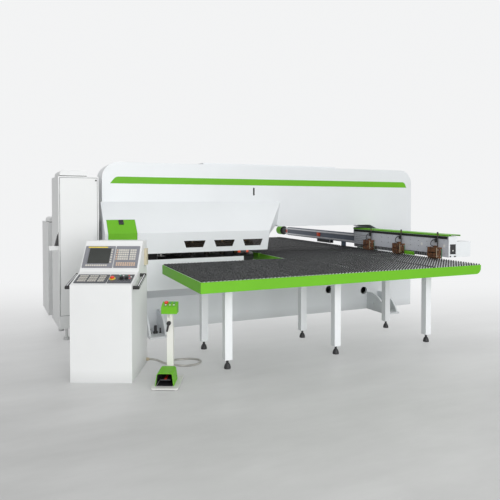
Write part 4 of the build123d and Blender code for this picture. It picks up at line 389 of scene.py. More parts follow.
def brushed(name, colour, roughness, along=(1, 40, 40)):
    """Ground steel: fine scratches drawn out along one direction."""
    material = new_material(name, colour, roughness, metallic=1.0, variation=0.1, patch=6)
    nodes = material.node_tree.nodes
    links = material.node_tree.links
    place = nodes.new("ShaderNodeTexCoord")
    stretch = nodes.new("ShaderNodeMapping")
    stretch.inputs["Scale"].default_value = along
    scratches = nodes.new("ShaderNodeTexNoise")
    scratches.inputs["Scale"].default_value = 30
    scratches.inputs["Detail"].default_value = 6
    links.new(place.outputs["Object"], stretch.inputs["Vector"])
    links.new(stretch.outputs["Vector"], scratches.inputs["Vector"])
    links.new(scratches.outputs["Fac"], nodes["bump"].inputs["Height"])
    nodes["bump"].inputs["Distance"].default_value = 0.05 * MM
    return material


def floor_shade_and_dust(material, colour, height=0.12):
    """Painted shade near the floor, with some dust: a slight grey on the lowest part of what stands on the
    floor.
    """
    nodes = material.node_tree.nodes
    links = material.node_tree.links
    place = nodes.new("ShaderNodeTexCoord")
    split = nodes.new("ShaderNodeSeparateXYZ")
    low = nodes.new("ShaderNodeMapRange")
    low.inputs["From Min"].default_value = 0
    low.inputs["From Max"].default_value = height
    low.inputs["To Min"].default_value = 0.35
    low.inputs["To Max"].default_value = 0
    mix = nodes.new("ShaderNodeMix")
    mix.data_type = "RGBA"
    mix.inputs["B"].default_value = [*colour, 1]
    links.new(place.outputs["Object"], split.inputs["Vector"])
    links.new(split.outputs["Z"], low.inputs["Value"])
    links.new(low.outputs["Result"], mix.inputs["Factor"])
    links.new(nodes["tint"].outputs["Color"], mix.inputs["A"])
    links.new(mix.outputs["Result"], nodes["Principled BSDF"].inputs["Base Color"])


def speckled(name, colour, second, scale, share, roughness, metallic=0.0):
    """Base colour broken by small patches of a second colour."""
    material = new_material(name, colour, roughness, metallic=metallic, grain_depth=0.15, grain=300)
    nodes = material.node_tree.nodes
    links = material.node_tree.links
    place = nodes.new("ShaderNodeTexCoord")
    spots = nodes.new("ShaderNodeTexNoise")
    spots.inputs["Scale"].default_value = scale
    spots.inputs["Detail"].default_value = 6
    ramp = nodes.new("ShaderNodeValToRGB")
    ramp.color_ramp.elements[0].position = share - 0.06
    ramp.color_ramp.elements[1].position = share + 0.06
    mix = nodes.new("ShaderNodeMix")
    mix.data_type = "RGBA"
    mix.inputs["B"].default_value = [*second, 1]
    links.new(place.outputs["Object"], spots.inputs["Vector"])
    links.new(spots.outputs["Fac"], ramp.inputs["Fac"])
    links.new(ramp.outputs["Color"], mix.inputs["Factor"])
    links.new(nodes["tint"].outputs["Color"], mix.inputs["A"])
    links.new(mix.outputs["Result"], nodes["Principled BSDF"].inputs["Base Color"])
    return material


def glass(name, colour, roughness, alpha):
    """Tinted pane that lets the tools behind it show."""
    material = new_material(name, colour, roughness, variation=0.2, patch=3, grain_depth=0.005, specular=0.6)
    material.node_tree.nodes["Principled BSDF"].inputs["Alpha"].default_value = alpha
    return material


def ribbed(name, colour, roughness, pitch):
    """Metal hose: rings across its length, from the curve's own length coordinate."""
    material = new_material(name, colour, roughness, metallic=0.6, variation=0.12, patch=8)
    nodes = material.node_tree.nodes
    links = material.node_tree.links
    place = nodes.new("ShaderNodeTexCoord")
    rings = nodes.new("ShaderNodeTexWave")
    rings.bands_direction = "X"
    rings.inputs["Scale"].default_value = pitch
    rings.inputs["Distortion"].default_value = 0
    links.new(place.outputs["UV"], rings.inputs["Vector"])
    links.new(rings.outputs["Fac"], nodes["bump"].inputs["Height"])
    nodes["bump"].inputs["Distance"].default_value = 1.2 * MM
    nodes["bump"].inputs["Strength"].default_value = 0.8
    return material


WHITE = (0.755, 0.78, 0.80)
SHADE = (0.45, 0.46, 0.46)
GREEN = (0.150, 0.455, 0.022)
frame_paint = new_material("frame_paint", WHITE, 0.38, variation=0.02, grain=700, coat=0.1)
cabinet_paint = new_material("cabinet_paint", (0.79, 0.80, 0.80), 0.42, variation=0.02, grain=500,
                             grain_depth=0.05)
leg_paint = new_material("leg_paint", (0.83, 0.85, 0.87), 0.35, variation=0.02)
stand_paint = new_material("stand_paint", (0.74, 0.74, 0.70), 0.4, variation=0.03)
# Painted shade near the floor, with some dust: the pale paints turn slightly grey on their lowest part
for paint in (frame_paint, cabinet_paint, leg_paint, stand_paint):
    floor_shade_and_dust(paint, SHADE)
green_paint = new_material("green_paint", GREEN, 0.46, variation=0.04, grain=600, specular=0.16)
blue_paint = new_material("blue_paint", (0.10, 0.125, 0.17), 0.36, variation=0.12, grain=500)
plate_paint = new_material("plate_paint", (0.76, 0.78, 0.80), 0.5, variation=0.1, patch=4)
carriage_paint = speckled("carriage_paint", (0.60, 0.62, 0.67), (0.40, 0.42, 0.46), 60, 0.66, 0.45)
bristle = new_material("bristle", (0.028, 0.028, 0.030), 0.38, variation=0.4, patch=60, grain=2500,
                       grain_depth=0.3)
clamp_paint = speckled("clamp_paint", (0.20, 0.085, 0.035), (0.07, 0.035, 0.02), 35, 0.52, 0.5,
                       metallic=0.3)
rail_steel = brushed("rail_steel", (0.50, 0.51, 0.53), 0.32, along=(40, 1, 40))
turned_steel = brushed("turned_steel", (0.42, 0.41, 0.40), 0.34, along=(40, 40, 1))
turret_steel = brushed("turret_steel", (0.075, 0.072, 0.07), 0.5, along=(40, 40, 1))
# Dark tool steel with orange patches: painted glints of the tools seen through the tinted hood windows
tool_steel = speckled("tool_steel", (0.10, 0.085, 0.07), (0.42, 0.26, 0.09), 20, 0.60, 0.4, metallic=0.9)
cast_black = new_material("cast_black", (0.022, 0.022, 0.024), 0.55, variation=0.3, patch=30, grain=350,
                          grain_depth=0.15)
black_plastic = new_material("black_plastic", (0.018, 0.018, 0.019), 0.45, variation=0.25, patch=25,
                             grain=1200, grain_depth=0.06)
grey_panel = new_material("grey_panel", (0.22, 0.225, 0.25), 0.42, variation=0.08, patch=12, grain=1500)
dark_panel = new_material("dark_panel", (0.075, 0.08, 0.09), 0.4, variation=0.12, patch=12, grain=1500)
key_cream = new_material("key_cream", (0.62, 0.60, 0.55), 0.5, variation=0.06, patch=50, grain=1500)
key_peach = new_material("key_peach", (0.66, 0.48, 0.36), 0.5, variation=0.06, patch=50, grain=1500)
red_plastic = new_material("red_plastic", (0.70, 0.035, 0.015), 0.3, variation=0.12, patch=40, coat=0.3)
orange_plastic = new_material("orange_plastic", (0.72, 0.085, 0.025), 0.35, variation=0.12, patch=40)
yellow_plastic = new_material("yellow_plastic", (0.80, 0.62, 0.05), 0.4, variation=0.08, patch=40)
green_lamp = new_material("green_lamp", (0.02, 0.28, 0.16), 0.3, variation=0.1, patch=60)
white_plastic = new_material("white_plastic", (0.78, 0.78, 0.76), 0.4, variation=0.05, patch=30)
screen_glass = new_material("screen_glass", (0.030, 0.034, 0.030), 0.12, variation=0.2, patch=5,
                            grain_depth=0.0)
rubber = new_material("rubber", (0.015, 0.015, 0.016), 0.7, variation=0.3, patch=40, grain_depth=0.1)
conduit_metal = ribbed("conduit_metal", (0.50, 0.49, 0.46), 0.38, 400)
brass = brushed("brass", (0.58, 0.50, 0.36), 0.3)
beige = new_material("beige", (0.55, 0.50, 0.36), 0.5, variation=0.06, patch=20)
tinted_pane = glass("tinted_pane", (0.03, 0.022, 0.014), 0.08, 0.3)

NODE_PAINTS = {
    frame_paint: ("main_frame", "frame_feet", "turret_hood", "lower_cover", "rear_covers",
                  "beam_end_plates"),
    cabinet_paint: ("console_cabinet", "console_door", "electrical_cabinet", "cabinet_door",
                    "power_unit", "roof_cowls"),
    leg_paint: ("table_legs",),
    stand_paint: ("pedal_base", "station_post"),
    green_paint: ("access_door", "table_skirts", "centre_table_frame", "beam_cover", "reference_stop",
                  "station_box", "pedal_hood"),
    blue_paint: ("cross_beam",),
    plate_paint: ("outer_brush_plates", "centre_brush_plates"),
    carriage_paint: ("clamp_carriage",),
    clamp_paint: ("clamp_bodies", "clamp_jaw_1", "clamp_jaw_2", "clamp_jaw_3"),
    rail_steel: ("beam_rails", "guide_rails"),
    turned_steel: ("turret_axles", "drive_shaft", "ram"),
    turret_steel: ("upper_turret", "lower_turret"),
    tool_steel: ("punch_tools",),
    cast_black: ("jack_screws", "ram_cylinder", "turret_motor", "carriage_motor", "levelling_feet"),
    black_plastic: ("door_latch", "feed_knob", "mode_knob", "console_handles", "clamp_lever",
                    "foot_pedal"),
    grey_panel: ("screen_unit", "keypad_unit"),
    dark_panel: ("operator_panels",),
    red_plastic: ("console_estop", "station_estop"),
    orange_plastic: ("position_switch",),
    rubber: ("drive_belts", "clamp_hoses"),
    conduit_metal: ("conduit",),
    brass: ("conduit_glands",),
    tinted_pane: ("hood_windows",),
}
for material, names in NODE_PAINTS.items():
    for node_name in names:
        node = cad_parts[node_name]
        node.data.materials.clear()
        node.data.materials.append(material)


def soften(node_name, width):
    """Small rounded edges on a folded or machined node, so that its edges catch light."""
    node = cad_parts[node_name]
    edge = node.modifiers.new("soft_edges", "BEVEL")
    edge.width = width * MM
    edge.segments = 2
    edge.limit_method = "ANGLE"
    edge.angle_limit = math.radians(50)
    edge.harden_normals = False


# Places and meshes
def local(origin, yaw=0.0, tilt=0.0, height=0.0, depth=0.0):
    """Matrix of a unit turned by yaw whose sloping face starts at depth and height and rises by tilt."""
    place = Matrix.Translation(Vector((*origin, 0)) * MM) @ Matrix.Rotation(math.radians(yaw), 4, "Z")
    return place @ Matrix.Translation(Vector((0, depth, height)) * MM) @ Matrix.Rotation(tilt, 4, "X")


def in_frame(place, point):
    """Where a point of a turned unit lies in the frame of the part, both in millimetres."""
    return place @ (Vector(point) * MM) / MM


WORLD = Matrix.Identity(4)
UPRIGHT = Matrix.Rotation(math.radians(90), 4, "X")


def finish_mesh(name, mesh_data, material, body, place=WORLD, bevel=0.0):
    """Turn a bmesh into a named piece that rides on a body."""
    mesh = bpy.data.meshes.new(name)
    mesh_data.to_mesh(mesh)
    mesh_data.free()
    mesh.transform(place)
    mesh.materials.append(material)
    piece = bpy.data.objects.new(name, mesh)
    bpy.context.collection.objects.link(piece)
    if bevel:
        edge = piece.modifiers.new("bevel", "BEVEL")
        edge.width = bevel * MM
        edge.segments = 3
        edge.limit_method = "ANGLE"
    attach(piece, body)
    return piece


def add_box(mesh_data, low, high):
    """Add a box between two corners, in millimetres, to a bmesh."""
    size = [(b - a) * MM for a, b in zip(low, high)]
    centre = [(a + b) / 2 * MM for a, b in zip(low, high)]
    matrix = Matrix.Translation(centre) @ Matrix.Diagonal((*size, 1))
    bmesh.ops.create_cube(mesh_data, size=1.0, matrix=matrix)


def boxes(name, limits, material, body, place=WORLD, bevel=1.0):
    """Piece made of several bevelled boxes, each given by its two corners."""
    mesh_data = bmesh.new()
    for low, high in limits:
        add_box(mesh_data, low, high)
    return finish_mesh(name, mesh_data, material, body, place, bevel)


def plate(name, outline, thickness, material, body, place=WORLD, bevel=0.0):
    """Piece made by extruding an outline, in millimetres, along the place's own Z."""
    mesh_data = bmesh.new()
    floor_points = [mesh_data.verts.new((x * MM, y * MM, 0)) for x, y in outline]
    face = mesh_data.faces.new(floor_points)
    result = bmesh.ops.extrude_face_region(mesh_data, geom=[face])
    moved = [item for item in result["geom"] if isinstance(item, bmesh.types.BMVert)]
    bmesh.ops.translate(mesh_data, vec=(0, 0, thickness * MM), verts=moved)
    bmesh.ops.recalc_face_normals(mesh_data, faces=mesh_data.faces)
    return finish_mesh(name, mesh_data, material, body, place, bevel)


def add_disc(mesh_data, centre, radius, depth, axis="Z", sides=32, top_radius=None):
    """Add a cylinder or a cone frustum with its base at a centre, in millimetres, to a bmesh."""
    top = radius if top_radius is None else top_radius
    turn = {"Z": Matrix.Identity(4), "Y": Matrix.Rotation(math.radians(-90), 4, "X"),
            "X": Matrix.Rotation(math.radians(90), 4, "Y")}[axis]
    matrix = Matrix.Translation(Vector(centre) * MM) @ turn @ Matrix.Translation((0, 0, depth / 2 * MM))
    bmesh.ops.create_cone(mesh_data, cap_ends=True, segments=sides, radius1=radius * MM,
                          radius2=top * MM, depth=depth * MM, matrix=matrix)


def discs(name, places, radius, depth, material, body, place=WORLD, axis="Z", bevel=0.6, sides=32):
    """Piece made of several equal round discs."""
    mesh_data = bmesh.new()
    for centre in places:
        add_disc(mesh_data, centre, radius, depth, axis, sides)
    return finish_mesh(name, mesh_data, material, body, place, bevel)


def raised(points, height):
    """Points of a flat face, lifted to a height above it."""
    return [(x, y, height) for x, y in points]


def curve(name, points, diameter, material, body):
    """Round line through control points, in millimetres, as one smooth spline."""
    data = bpy.data.curves.new(name, "CURVE")
    data.dimensions = "3D"
    data.bevel_depth = diameter / 2 * MM
    data.bevel_resolution = 4
    data.resolution_u = 8
    data.use_fill_caps = True
    spline = data.splines.new("NURBS")
    spline.points.add(len(points) - 1)
    for item, point in zip(spline.points, points):
        item.co = (*[value * MM for value in point], 1)
    spline.order_u = 3
    spline.use_endpoint_u = True
    data.materials.append(material)
    piece = bpy.data.objects.new(name, data)
    bpy.context.collection.objects.link(piece)
    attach(piece, body)
    return piece


# Main frame: green stripe, black grip, and black sheets that paint the shade in the gap under the hood
def rounded_corner(corner, before, after, radius, steps=6):
    """Points that round one corner of an outline."""
    corner, before, after = Vector(corner), Vector(before), Vector(after)
    first = (before - corner).normalized() * radius
    second = (after - corner).normalized() * radius
    shares = [k / steps for k in range(steps + 1)]
    return [tuple(corner + first * (1 - t) ** 2 + second * t ** 2) for t in shares]


bottom_left = (STRIPE_LEFT[0], STRIPE_BOTTOM)
bottom_right = (STRIPE_RIGHT[0], STRIPE_BOTTOM)
top_right = (STRIPE_RIGHT[1], STRIPE_TOP)
top_left = (STRIPE_LEFT[1], STRIPE_TOP)
stripe_outline = [bottom_left, bottom_right]
stripe_outline += rounded_corner(top_right, bottom_right, top_left, STRIPE_CORNER)
stripe_outline += rounded_corner(top_left, top_right, bottom_left, STRIPE_CORNER)
plate("green_stripe", stripe_outline, STRIPE_THICKNESS, green_paint, "machine",
      Matrix.Translation((0, FRAME_FACE * MM, 0)) @ UPRIGHT)

mesh = bmesh.new()
grip_near = FRAME_FACE - GRIP_PROUD
grip_half = GRIP_WIDTH / 2 - GRIP_CLEARANCE
upper_end = GRIP_TOP - GRIP_WIDTH / 2
lower_end = GRIP_TOP - GRIP_HEIGHT + GRIP_WIDTH / 2
for end in (upper_end, lower_end):
    add_disc(mesh, (GRIP_X, grip_near, end), grip_half, GRIP_DEPTH, "Y")
add_box(mesh, (GRIP_X - grip_half, grip_near, lower_end),
        (GRIP_X + grip_half, grip_near + GRIP_DEPTH, upper_end))
finish_mesh("frame_grip", mesh, black_plastic, "machine")

# Painted shade: black sheets on the frame's front and rear faces, where the hood shades them
boxes("gap_shade_sheet", [((GAP_SPAN[0], FRAME_FACE - SHADE_SHEET_THICKNESS, GAP_FRONT_BOTTOM),
                      (GAP_SPAN[1], FRAME_FACE, GAP_TOP))], rubber, "machine", bevel=0.3)
boxes("gap_shade_sheet_rear", [((GAP_SPAN[0], -FRAME_FACE, GAP_REAR_BOTTOM),
                           (GAP_SPAN[1], -FRAME_FACE + SHADE_SHEET_THICKNESS, GAP_TOP))], rubber, "machine",
      bevel=0.3)


# Sensor bar on the hood's lower edge
def sensor_stretch(left, right, skin):
    """Limits of one stretch of the bar, standing a skin's thickness proud of the solid bar."""
    return ((SENSOR_X + left, HOOD_LIP_Y - skin, HOOD_BOTTOM - SENSOR_SIZE - skin),
            (SENSOR_X + right, HOOD_LIP_Y + SENSOR_SIZE + skin, HOOD_BOTTOM + skin / 2))


boxes("sensor_bar", [sensor_stretch(-SENSOR_MIDDLE, SENSOR_MIDDLE, 1)], black_plastic, "machine")
boxes("sensor_ends", [sensor_stretch(-SENSOR_HALF, -SENSOR_MIDDLE, 2),
                      sensor_stretch(SENSOR_MIDDLE, SENSOR_HALF, 2)], orange_plastic, "machine", bevel=3)


# Brush tables: pale plates with staggered tufts of black bristle
def add_tuft(vertices, faces, x, y):
    """Add one flared tuft with a ragged crown to a list of vertices and a list of faces."""
    start = len(vertices)
    turn = random.uniform(0, math.tau)
    top_x = x + random.uniform(-TUFT_LEAN, TUFT_LEAN)
    top_y = y + random.uniform(-TUFT_LEAN, TUFT_LEAN)
    angles = [turn + math.tau * k / TUFT_SIDES for k in range(TUFT_SIDES)]
    points = [(x + TUFT_ROOT * math.cos(a), y + TUFT_ROOT * math.sin(a), TABLE_TOP) for a in angles]
    for a in angles:
        spread = TUFT_CROWN * random.uniform(*CROWN_SPREAD)
        height = TABLE_TOP + TUFT_HEIGHT - random.uniform(*CROWN_DROP)
        points.append((top_x + spread * math.cos(a), top_y + spread * math.sin(a), height))
    points.append((top_x, top_y, TABLE_TOP + TUFT_HEIGHT - random.uniform(0, MIDDLE_DROP)))
    vertices.extend(tuple(value * MM for value in point) for point in points)
    for k in range(TUFT_SIDES):
        after = (k + 1) % TUFT_SIDES
        faces.append((start + k, start + after, start + TUFT_SIDES + after, start + TUFT_SIDES + k))
        faces.append((start + TUFT_SIDES + k, start + TUFT_SIDES + after, start + 2 * TUFT_SIDES))


def tuft_field(name, areas):
    """All tufts of one table, in staggered rows about half the pitch apart."""
    vertices, faces = [], []
    for left, right, near, far in areas:
        width = right - left - 2 * TUFT_MARGIN
        depth = far - near - 2 * TUFT_MARGIN
        columns = round(width / TUFT_PITCH)
        rows = round(depth / (TUFT_PITCH / 2))
        step_x = width / columns
        step_y = depth / rows
        for row in range(rows + 1):
            stagger = row % 2
            for column in range(columns + 1 - stagger):
                add_tuft(vertices, faces, left + TUFT_MARGIN + (column + stagger / 2) * step_x,
                         near + TUFT_MARGIN + row * step_y)
    mesh = bpy.data.meshes.new(name)
    mesh.from_pydata(vertices, [], faces)
    mesh.materials.append(bristle)
    piece = bpy.data.objects.new(name, mesh)
    bpy.context.collection.objects.link(piece)
    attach(piece, "machine")
    return piece


def plate_limits(node_name, seams, fields):
    """Limits of a node's plates: its box cut at the seams and into fields along Y."""
    low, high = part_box(node_name)
    cuts = [low[0] / MM - SEAM_GAP / 2, *seams, high[0] / MM + SEAM_GAP / 2]
    return [(a + SEAM_GAP / 2, b - SEAM_GAP / 2, near, far) for a, b in zip(cuts[:-1], cuts[1:])
            for near, far in fields]


def bare_plates(name, areas):
    """Pale plates under the tufts, each with slightly rounded edges."""
    limits = [((a, near, TABLE_TOP - PLATE_THICKNESS), (b, far, TABLE_TOP)) for a, b, near, far in areas]
    return boxes(name, limits, plate_paint, "machine", bevel=0.8)


outer_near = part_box("table_skirts")[0][1] / MM
centre_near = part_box("centre_table_frame")[0][1] / MM
front_areas = plate_limits("outer_brush_plates", PLATE_SEAMS, [(outer_near + RIM, centre_near - RIM)])
rear_areas = [(a, b, -far, -near) for a, b, near, far in front_areas]
centre_fields = [(centre_near + RIM, -RIB_OUTSIDE - RIM), (-RIB_INSIDE + RIM, RIB_INSIDE - RIM),
                 (RIB_OUTSIDE + RIM, -centre_near - RIM)]
centre_areas = plate_limits("centre_brush_plates", PLATE_SEAMS[-1:], centre_fields)
outer_plates = bare_plates("outer_plates", front_areas + rear_areas)
centre_plates = bare_plates("centre_plates", centre_areas)
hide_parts("outer_brush_plates")
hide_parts("centre_brush_plates")
tuft_field("front_tufts", front_areas)
tuft_field("rear_tufts", rear_areas)
tuft_field("centre_tufts", centre_areas)

# Console: screen, keys, emergency ring, buttons, knob scale, handle sleeves and ends, strip, and painted
# shade at the foot
key_tilt = math.atan2(KNEE[1] - CONSOLE_FRONT, KNEE[0])
screen_tilt = math.atan2(CREST[1] - KNEE[1], CREST[0] - KNEE[0])
key_slope = local(CONSOLE_PLACE, STATION_YAW, key_tilt, CONSOLE_FRONT, 0)
screen_slope = local(CONSOLE_PLACE, STATION_YAW, screen_tilt, KNEE[1], KNEE[0])
console_place = local(CONSOLE_PLACE, STATION_YAW)


def screen_part(name, corners, thickness, material, bevel):
    """Thin piece on the screen unit, between two corners measured on the unit's own face."""
    (left, bottom), (right, top) = corners
    boxes(name, [((SCREEN_LEFT + left, UNIT_RISE + bottom, UNIT_THICKNESS),
                  (SCREEN_LEFT + right, UNIT_RISE + top, UNIT_THICKNESS + thickness))],
          material, "machine", screen_slope, bevel=bevel)


def keys(name, left, rise, columns, rows, pitch_x, pitch_y, size, base, material, slope):
    """Block of bevelled key caps on a sloping face."""
    half = size / 2
    limits = []
    for column in range(columns):
        for row in range(rows):
            x, y = left + column * pitch_x, rise + row * pitch_y
            limits.append(((x - half, y - half, base), (x + half, y + half, base + KEY_HEIGHT)))
    return boxes(name, limits, material, "machine", slope, bevel=1.2)


screen_part("screen_glass", GLASS_CORNERS, 1, screen_glass, 0.5)
screen_part("screen_strip", STRIP_CORNERS, 1.4, yellow_plastic, 0.4)

# Each block of keys: name, left, rise, columns, rows, pitch across, pitch up, key size, material
UNIT_KEYS = (
    ("screen_keys", SCREEN_LEFT + 42, UNIT_RISE + 22, 10, 1, 22, 22, 17, key_cream),
    ("screen_side_keys", SCREEN_LEFT + 278, UNIT_RISE + 62, 1, 6, 22, 28, 17, key_cream),
    ("keypad_letters", KEYPAD_LEFT + 36, UNIT_RISE + 96, 5, 5, 22, 26, 19, key_cream),
    ("keypad_numbers", KEYPAD_LEFT + 156, UNIT_RISE + 96, 3, 5, 22, 26, 19, key_cream),
    ("keypad_functions", KEYPAD_LEFT + 30, UNIT_RISE + 26, 9, 2, 22, 22, 16, key_peach),
    ("keypad_columns", KEYPAD_LEFT + 14, UNIT_RISE + 96, 1, 5, 22, 26, 15, key_peach),
)
for name, left, rise, columns, rows, pitch_x, pitch_y, size, material in UNIT_KEYS:
    keys(name, left, rise, columns, rows, pitch_x, pitch_y, size, UNIT_THICKNESS, material, screen_slope)
for number, columns in enumerate((4, 4, 3)):
    keys(f"panel_keys_{number + 1}", PANEL_LEFT + 34 + number * PANEL_PITCH, PANEL_RISE + 32, columns, 4,
         21, 34, 18, PANEL_THICKNESS, key_cream, key_slope)

mesh = bmesh.new()
add_disc(mesh, (ESTOP_X, CONTROL_RISE, PANEL_THICKNESS - RING_SINK), RING_RADII[0], RING_HEIGHT,
         sides=48, top_radius=RING_RADII[1])
finish_mesh("estop_ring", mesh, yellow_plastic, "machine", key_slope, bevel=0.6)
all_buttons = BLACK_BUTTONS + RED_BUTTONS + GREEN_BUTTONS + WHITE_BUTTONS
discs("button_rims", raised(all_buttons, PANEL_THICKNESS), RIM_RADIUS, RIM_HEIGHT, grey_panel, "machine",
      key_slope)
for name, points, height, material in (("button_caps_black", BLACK_BUTTONS, CAP_HEIGHT, black_plastic),
                                       ("button_cap_red", RED_BUTTONS, RED_CAP_HEIGHT, red_plastic),
                                       ("button_caps_green", GREEN_BUTTONS, CAP_HEIGHT, green_lamp),
                                       ("button_caps_white", WHITE_BUTTONS, CAP_HEIGHT, white_plastic)):
    discs(name, raised(points, PANEL_THICKNESS + RIM_HEIGHT), CAP_RADIUS, height, material, "machine",
          key_slope, bevel=1)
discs("knob_scale", [(SCALE_X, CONTROL_RISE, PANEL_THICKNESS)], SCALE_RADIUS, SCALE_HEIGHT, cast_black,
      "machine", key_slope, bevel=0.3)

for side_name, side in (("left", -1), ("right", 1)):
    offset = side * (CONSOLE_WIDTH / 2 + HANDLE_OFFSET)
    points = [in_frame(console_place, (offset, depth, height)) for depth, height in HANDLE_SLEEVE]
    curve(f"handle_sleeve_{side_name}", points, SLEEVE_DIAMETER, leg_paint, "machine")
    low_x = CONSOLE_WIDTH / 2 if side > 0 else -CONSOLE_WIDTH / 2 - HANDLE_END_LENGTH
    discs(f"handle_ends_{side_name}", [(low_x, *point) for point in HANDLE_ENDS], HANDLE_END_RADIUS,
          HANDLE_END_LENGTH, black_plastic, "machine", console_place, axis="X", bevel=3)
boxes("side_strip", [((CONSOLE_WIDTH / 2, SIDE_STRIP_DEPTHS[0], SIDE_STRIP_HEIGHTS[0]),
                      (CONSOLE_WIDTH / 2 + SIDE_STRIP_THICKNESS, SIDE_STRIP_DEPTHS[1],
                       SIDE_STRIP_HEIGHTS[1]))], beige, "machine", console_place, bevel=3)
# Painted shade: a dark band at the foot of the cabinet, for its shadow gap
boxes("console_base_shade", [((-CONSOLE_WIDTH / 2 + BASE_SHADE_INSET, BASE_SHADE_INSET, BASE_SHADE_HEIGHTS[0]),
                          (CONSOLE_WIDTH / 2 - BASE_SHADE_INSET, CONSOLE_DEPTH - BASE_SHADE_INSET,
                           BASE_SHADE_HEIGHTS[1]))], dark_panel, "machine", console_place, bevel=0.5)

# Pedal stand: buttons on the box, painted shade inside the hood and on the base under it, red mark and pale
# bar on the pedal
stand_place = local(STAND_PLACE, STATION_YAW)
base_place = local(STAND_PLACE, STATION_YAW, height=BASE_TOP)
box_tilt = math.atan2(BOX_BACK - BOX_FRONT, BOX_DEPTH)
box_slope = local(STAND_PLACE, STATION_YAW, box_tilt, BOX_BOTTOM + BOX_FRONT, POST_REAR - BOX_DEPTH)
discs("station_rims", raised(STATION_WHITE_BUTTONS + STATION_GREEN_BUTTONS, 0), STATION_RIM_RADIUS,
      STATION_RIM_HEIGHT, dark_panel, "station", box_slope)
discs("station_caps", raised(STATION_WHITE_BUTTONS, STATION_RIM_HEIGHT), STATION_CAP_RADIUS, CAP_HEIGHT,
      white_plastic, "station", box_slope, bevel=1)
discs("station_dark_caps", raised(STATION_GREEN_BUTTONS, STATION_RIM_HEIGHT), STATION_CAP_RADIUS,
      CAP_HEIGHT, green_lamp, "station", box_slope, bevel=1)


def hood_inside_shade():
    """Painted shade inside the pedal hood: a black skin in an arch drawn back along the hood, closed at the
    back.
    """
    spring = HOOD_HEIGHT - SHOULDER
    arch = [(-HOOD_HALF, 1), (-HOOD_HALF + 12, spring)]
    arch += [(-HOOD_HALF + 13 + 14 * (1 - math.cos(a)), spring + SHOULDER * math.sin(a))
             for a in SHOULDER_ANGLES]
    arch += [(-x, z) for x, z in reversed(arch)]
    mesh_data = bmesh.new()
    rows = []
    for y in (HOOD_NEAR, HOOD_NEAR + HOOD_DEPTH):
        rows.append([mesh_data.verts.new(((x + HOOD_MIDDLE) * MM, y * MM, z * MM)) for x, z in arch])
    for k in range(len(arch) - 1):
        mesh_data.faces.new((rows[0][k], rows[0][k + 1], rows[1][k + 1], rows[1][k]))
    mesh_data.faces.new(rows[1])
    piece = finish_mesh("hood_inside_shade", mesh_data, rubber, "machine", base_place)
    thick = piece.modifiers.new("thickness", "SOLIDIFY")
    thick.thickness = 1.2 * MM
    thick.offset = 0


hood_inside_shade()
# Painted shade on the base under the hood
boxes("hood_floor_shade", [HOOD_FLOOR_SHADE], rubber, "machine", base_place, bevel=0.5)
boxes("pedal_mark", [PEDAL_MARK], red_plastic, "pedal", base_place, bevel=2)
boxes("pedal_bar", [PEDAL_BAR], white_plastic, "pedal", base_place, bevel=1)

# Cabinet and power unit: shadow strips under the cowls, switch face, door seams and locks
cabinet_place = local(CABINET_PLACE, CABINET_YAW)
for name, place, height in (("cowl_shadow", cabinet_place, CABINET_COWL),
                            ("unit_cowl_shadow", local(UNIT_PLACE, CABINET_YAW), UNIT_COWL)):
    low, high = SHADOW_CORNERS
    boxes(name, [((*low, height), (*high, height + SHADOW_HEIGHT))], rubber, "machine", place, bevel=0.4)
plate("side_switch_face", SWITCH_OUTLINE, SWITCH_LENGTH, cast_black, "machine",
      cabinet_place @ Matrix.Translation((0, SWITCH_DEPTH * MM, 0)) @ UPRIGHT, bevel=1)
left, right, bottom, top = SEAM_OUTSIDE
inner_left, inner_right, inner_bottom, inner_top = SEAM_INSIDE
boxes("door_seams", [((left, -SEAM_THICKNESS, bottom), (inner_left, 0, top)),
                     ((inner_right, -SEAM_THICKNESS, bottom), (right, 0, top)),
                     ((inner_left, -SEAM_THICKNESS, bottom), (inner_right, 0, inner_bottom)),
                     ((inner_left, -SEAM_THICKNESS, inner_top), (inner_right, 0, top))],
      dark_panel, "machine", cabinet_place, bevel=0.2)
discs("door_locks", [(LOCK_X, -LOCK_PROUD, height) for height in LOCK_HEIGHTS], LOCK_RADIUS, LOCK_LENGTH,
      black_plastic, "cabinet_front_door", cabinet_place, axis="Y")

# Near end of the beam, and the carriage's face: painted shade of the recess under the cover, spots, bolts,
# holes, and the clamps' track with painted shade below the plate
# Painted shade: a dark strip for the recess under the carriage's cover
boxes("recess_shade_strip", [((BEAM_FACE - 0.8, CARRIAGE_NEAR + STRIP_INSET, STRIP_HEIGHTS[0]),
                       (BEAM_FACE + 0.2, CARRIAGE_FAR - STRIP_INSET, STRIP_HEIGHTS[1]))],
      rubber, "carriage", bevel=0.2)
boxes("end_panel", [END_PANEL], cast_black, "beam", bevel=0.5)
discs("end_panel_bolt", [END_BOLT], END_BOLT_RADIUS, BOLT_LENGTH, white_plastic, "beam", axis="Y")
boxes("end_sensors", END_SENSORS, cast_black, "beam", bevel=1)
discs("plate_spots", [(BEAM_FACE - SPOT_DEPTH, y, SPOT_Z) for y in SPOT_YS], SPOT_RADIUS, SPOT_DEPTH,
      white_plastic, "carriage", axis="X", bevel=0.3)
discs("plate_bolts", [(BEAM_FACE - BOLT_LENGTH, y, z) for y in BOLT_YS for z in BOLT_ZS], BOLT_RADIUS,
      BOLT_LENGTH, rail_steel, "carriage", axis="X", sides=12)
discs("plate_holes", [(BEAM_FACE - HOLE_PROUD, y, z) for y in HOLE_YS for z in HOLE_ZS], HOLE_RADIUS,
      HOLE_DEPTH, cast_black, "carriage", axis="X", bevel=0.1, sides=10)
track = []
nuts = []
track_face = BEAM_FACE - TRACK_DEPTH
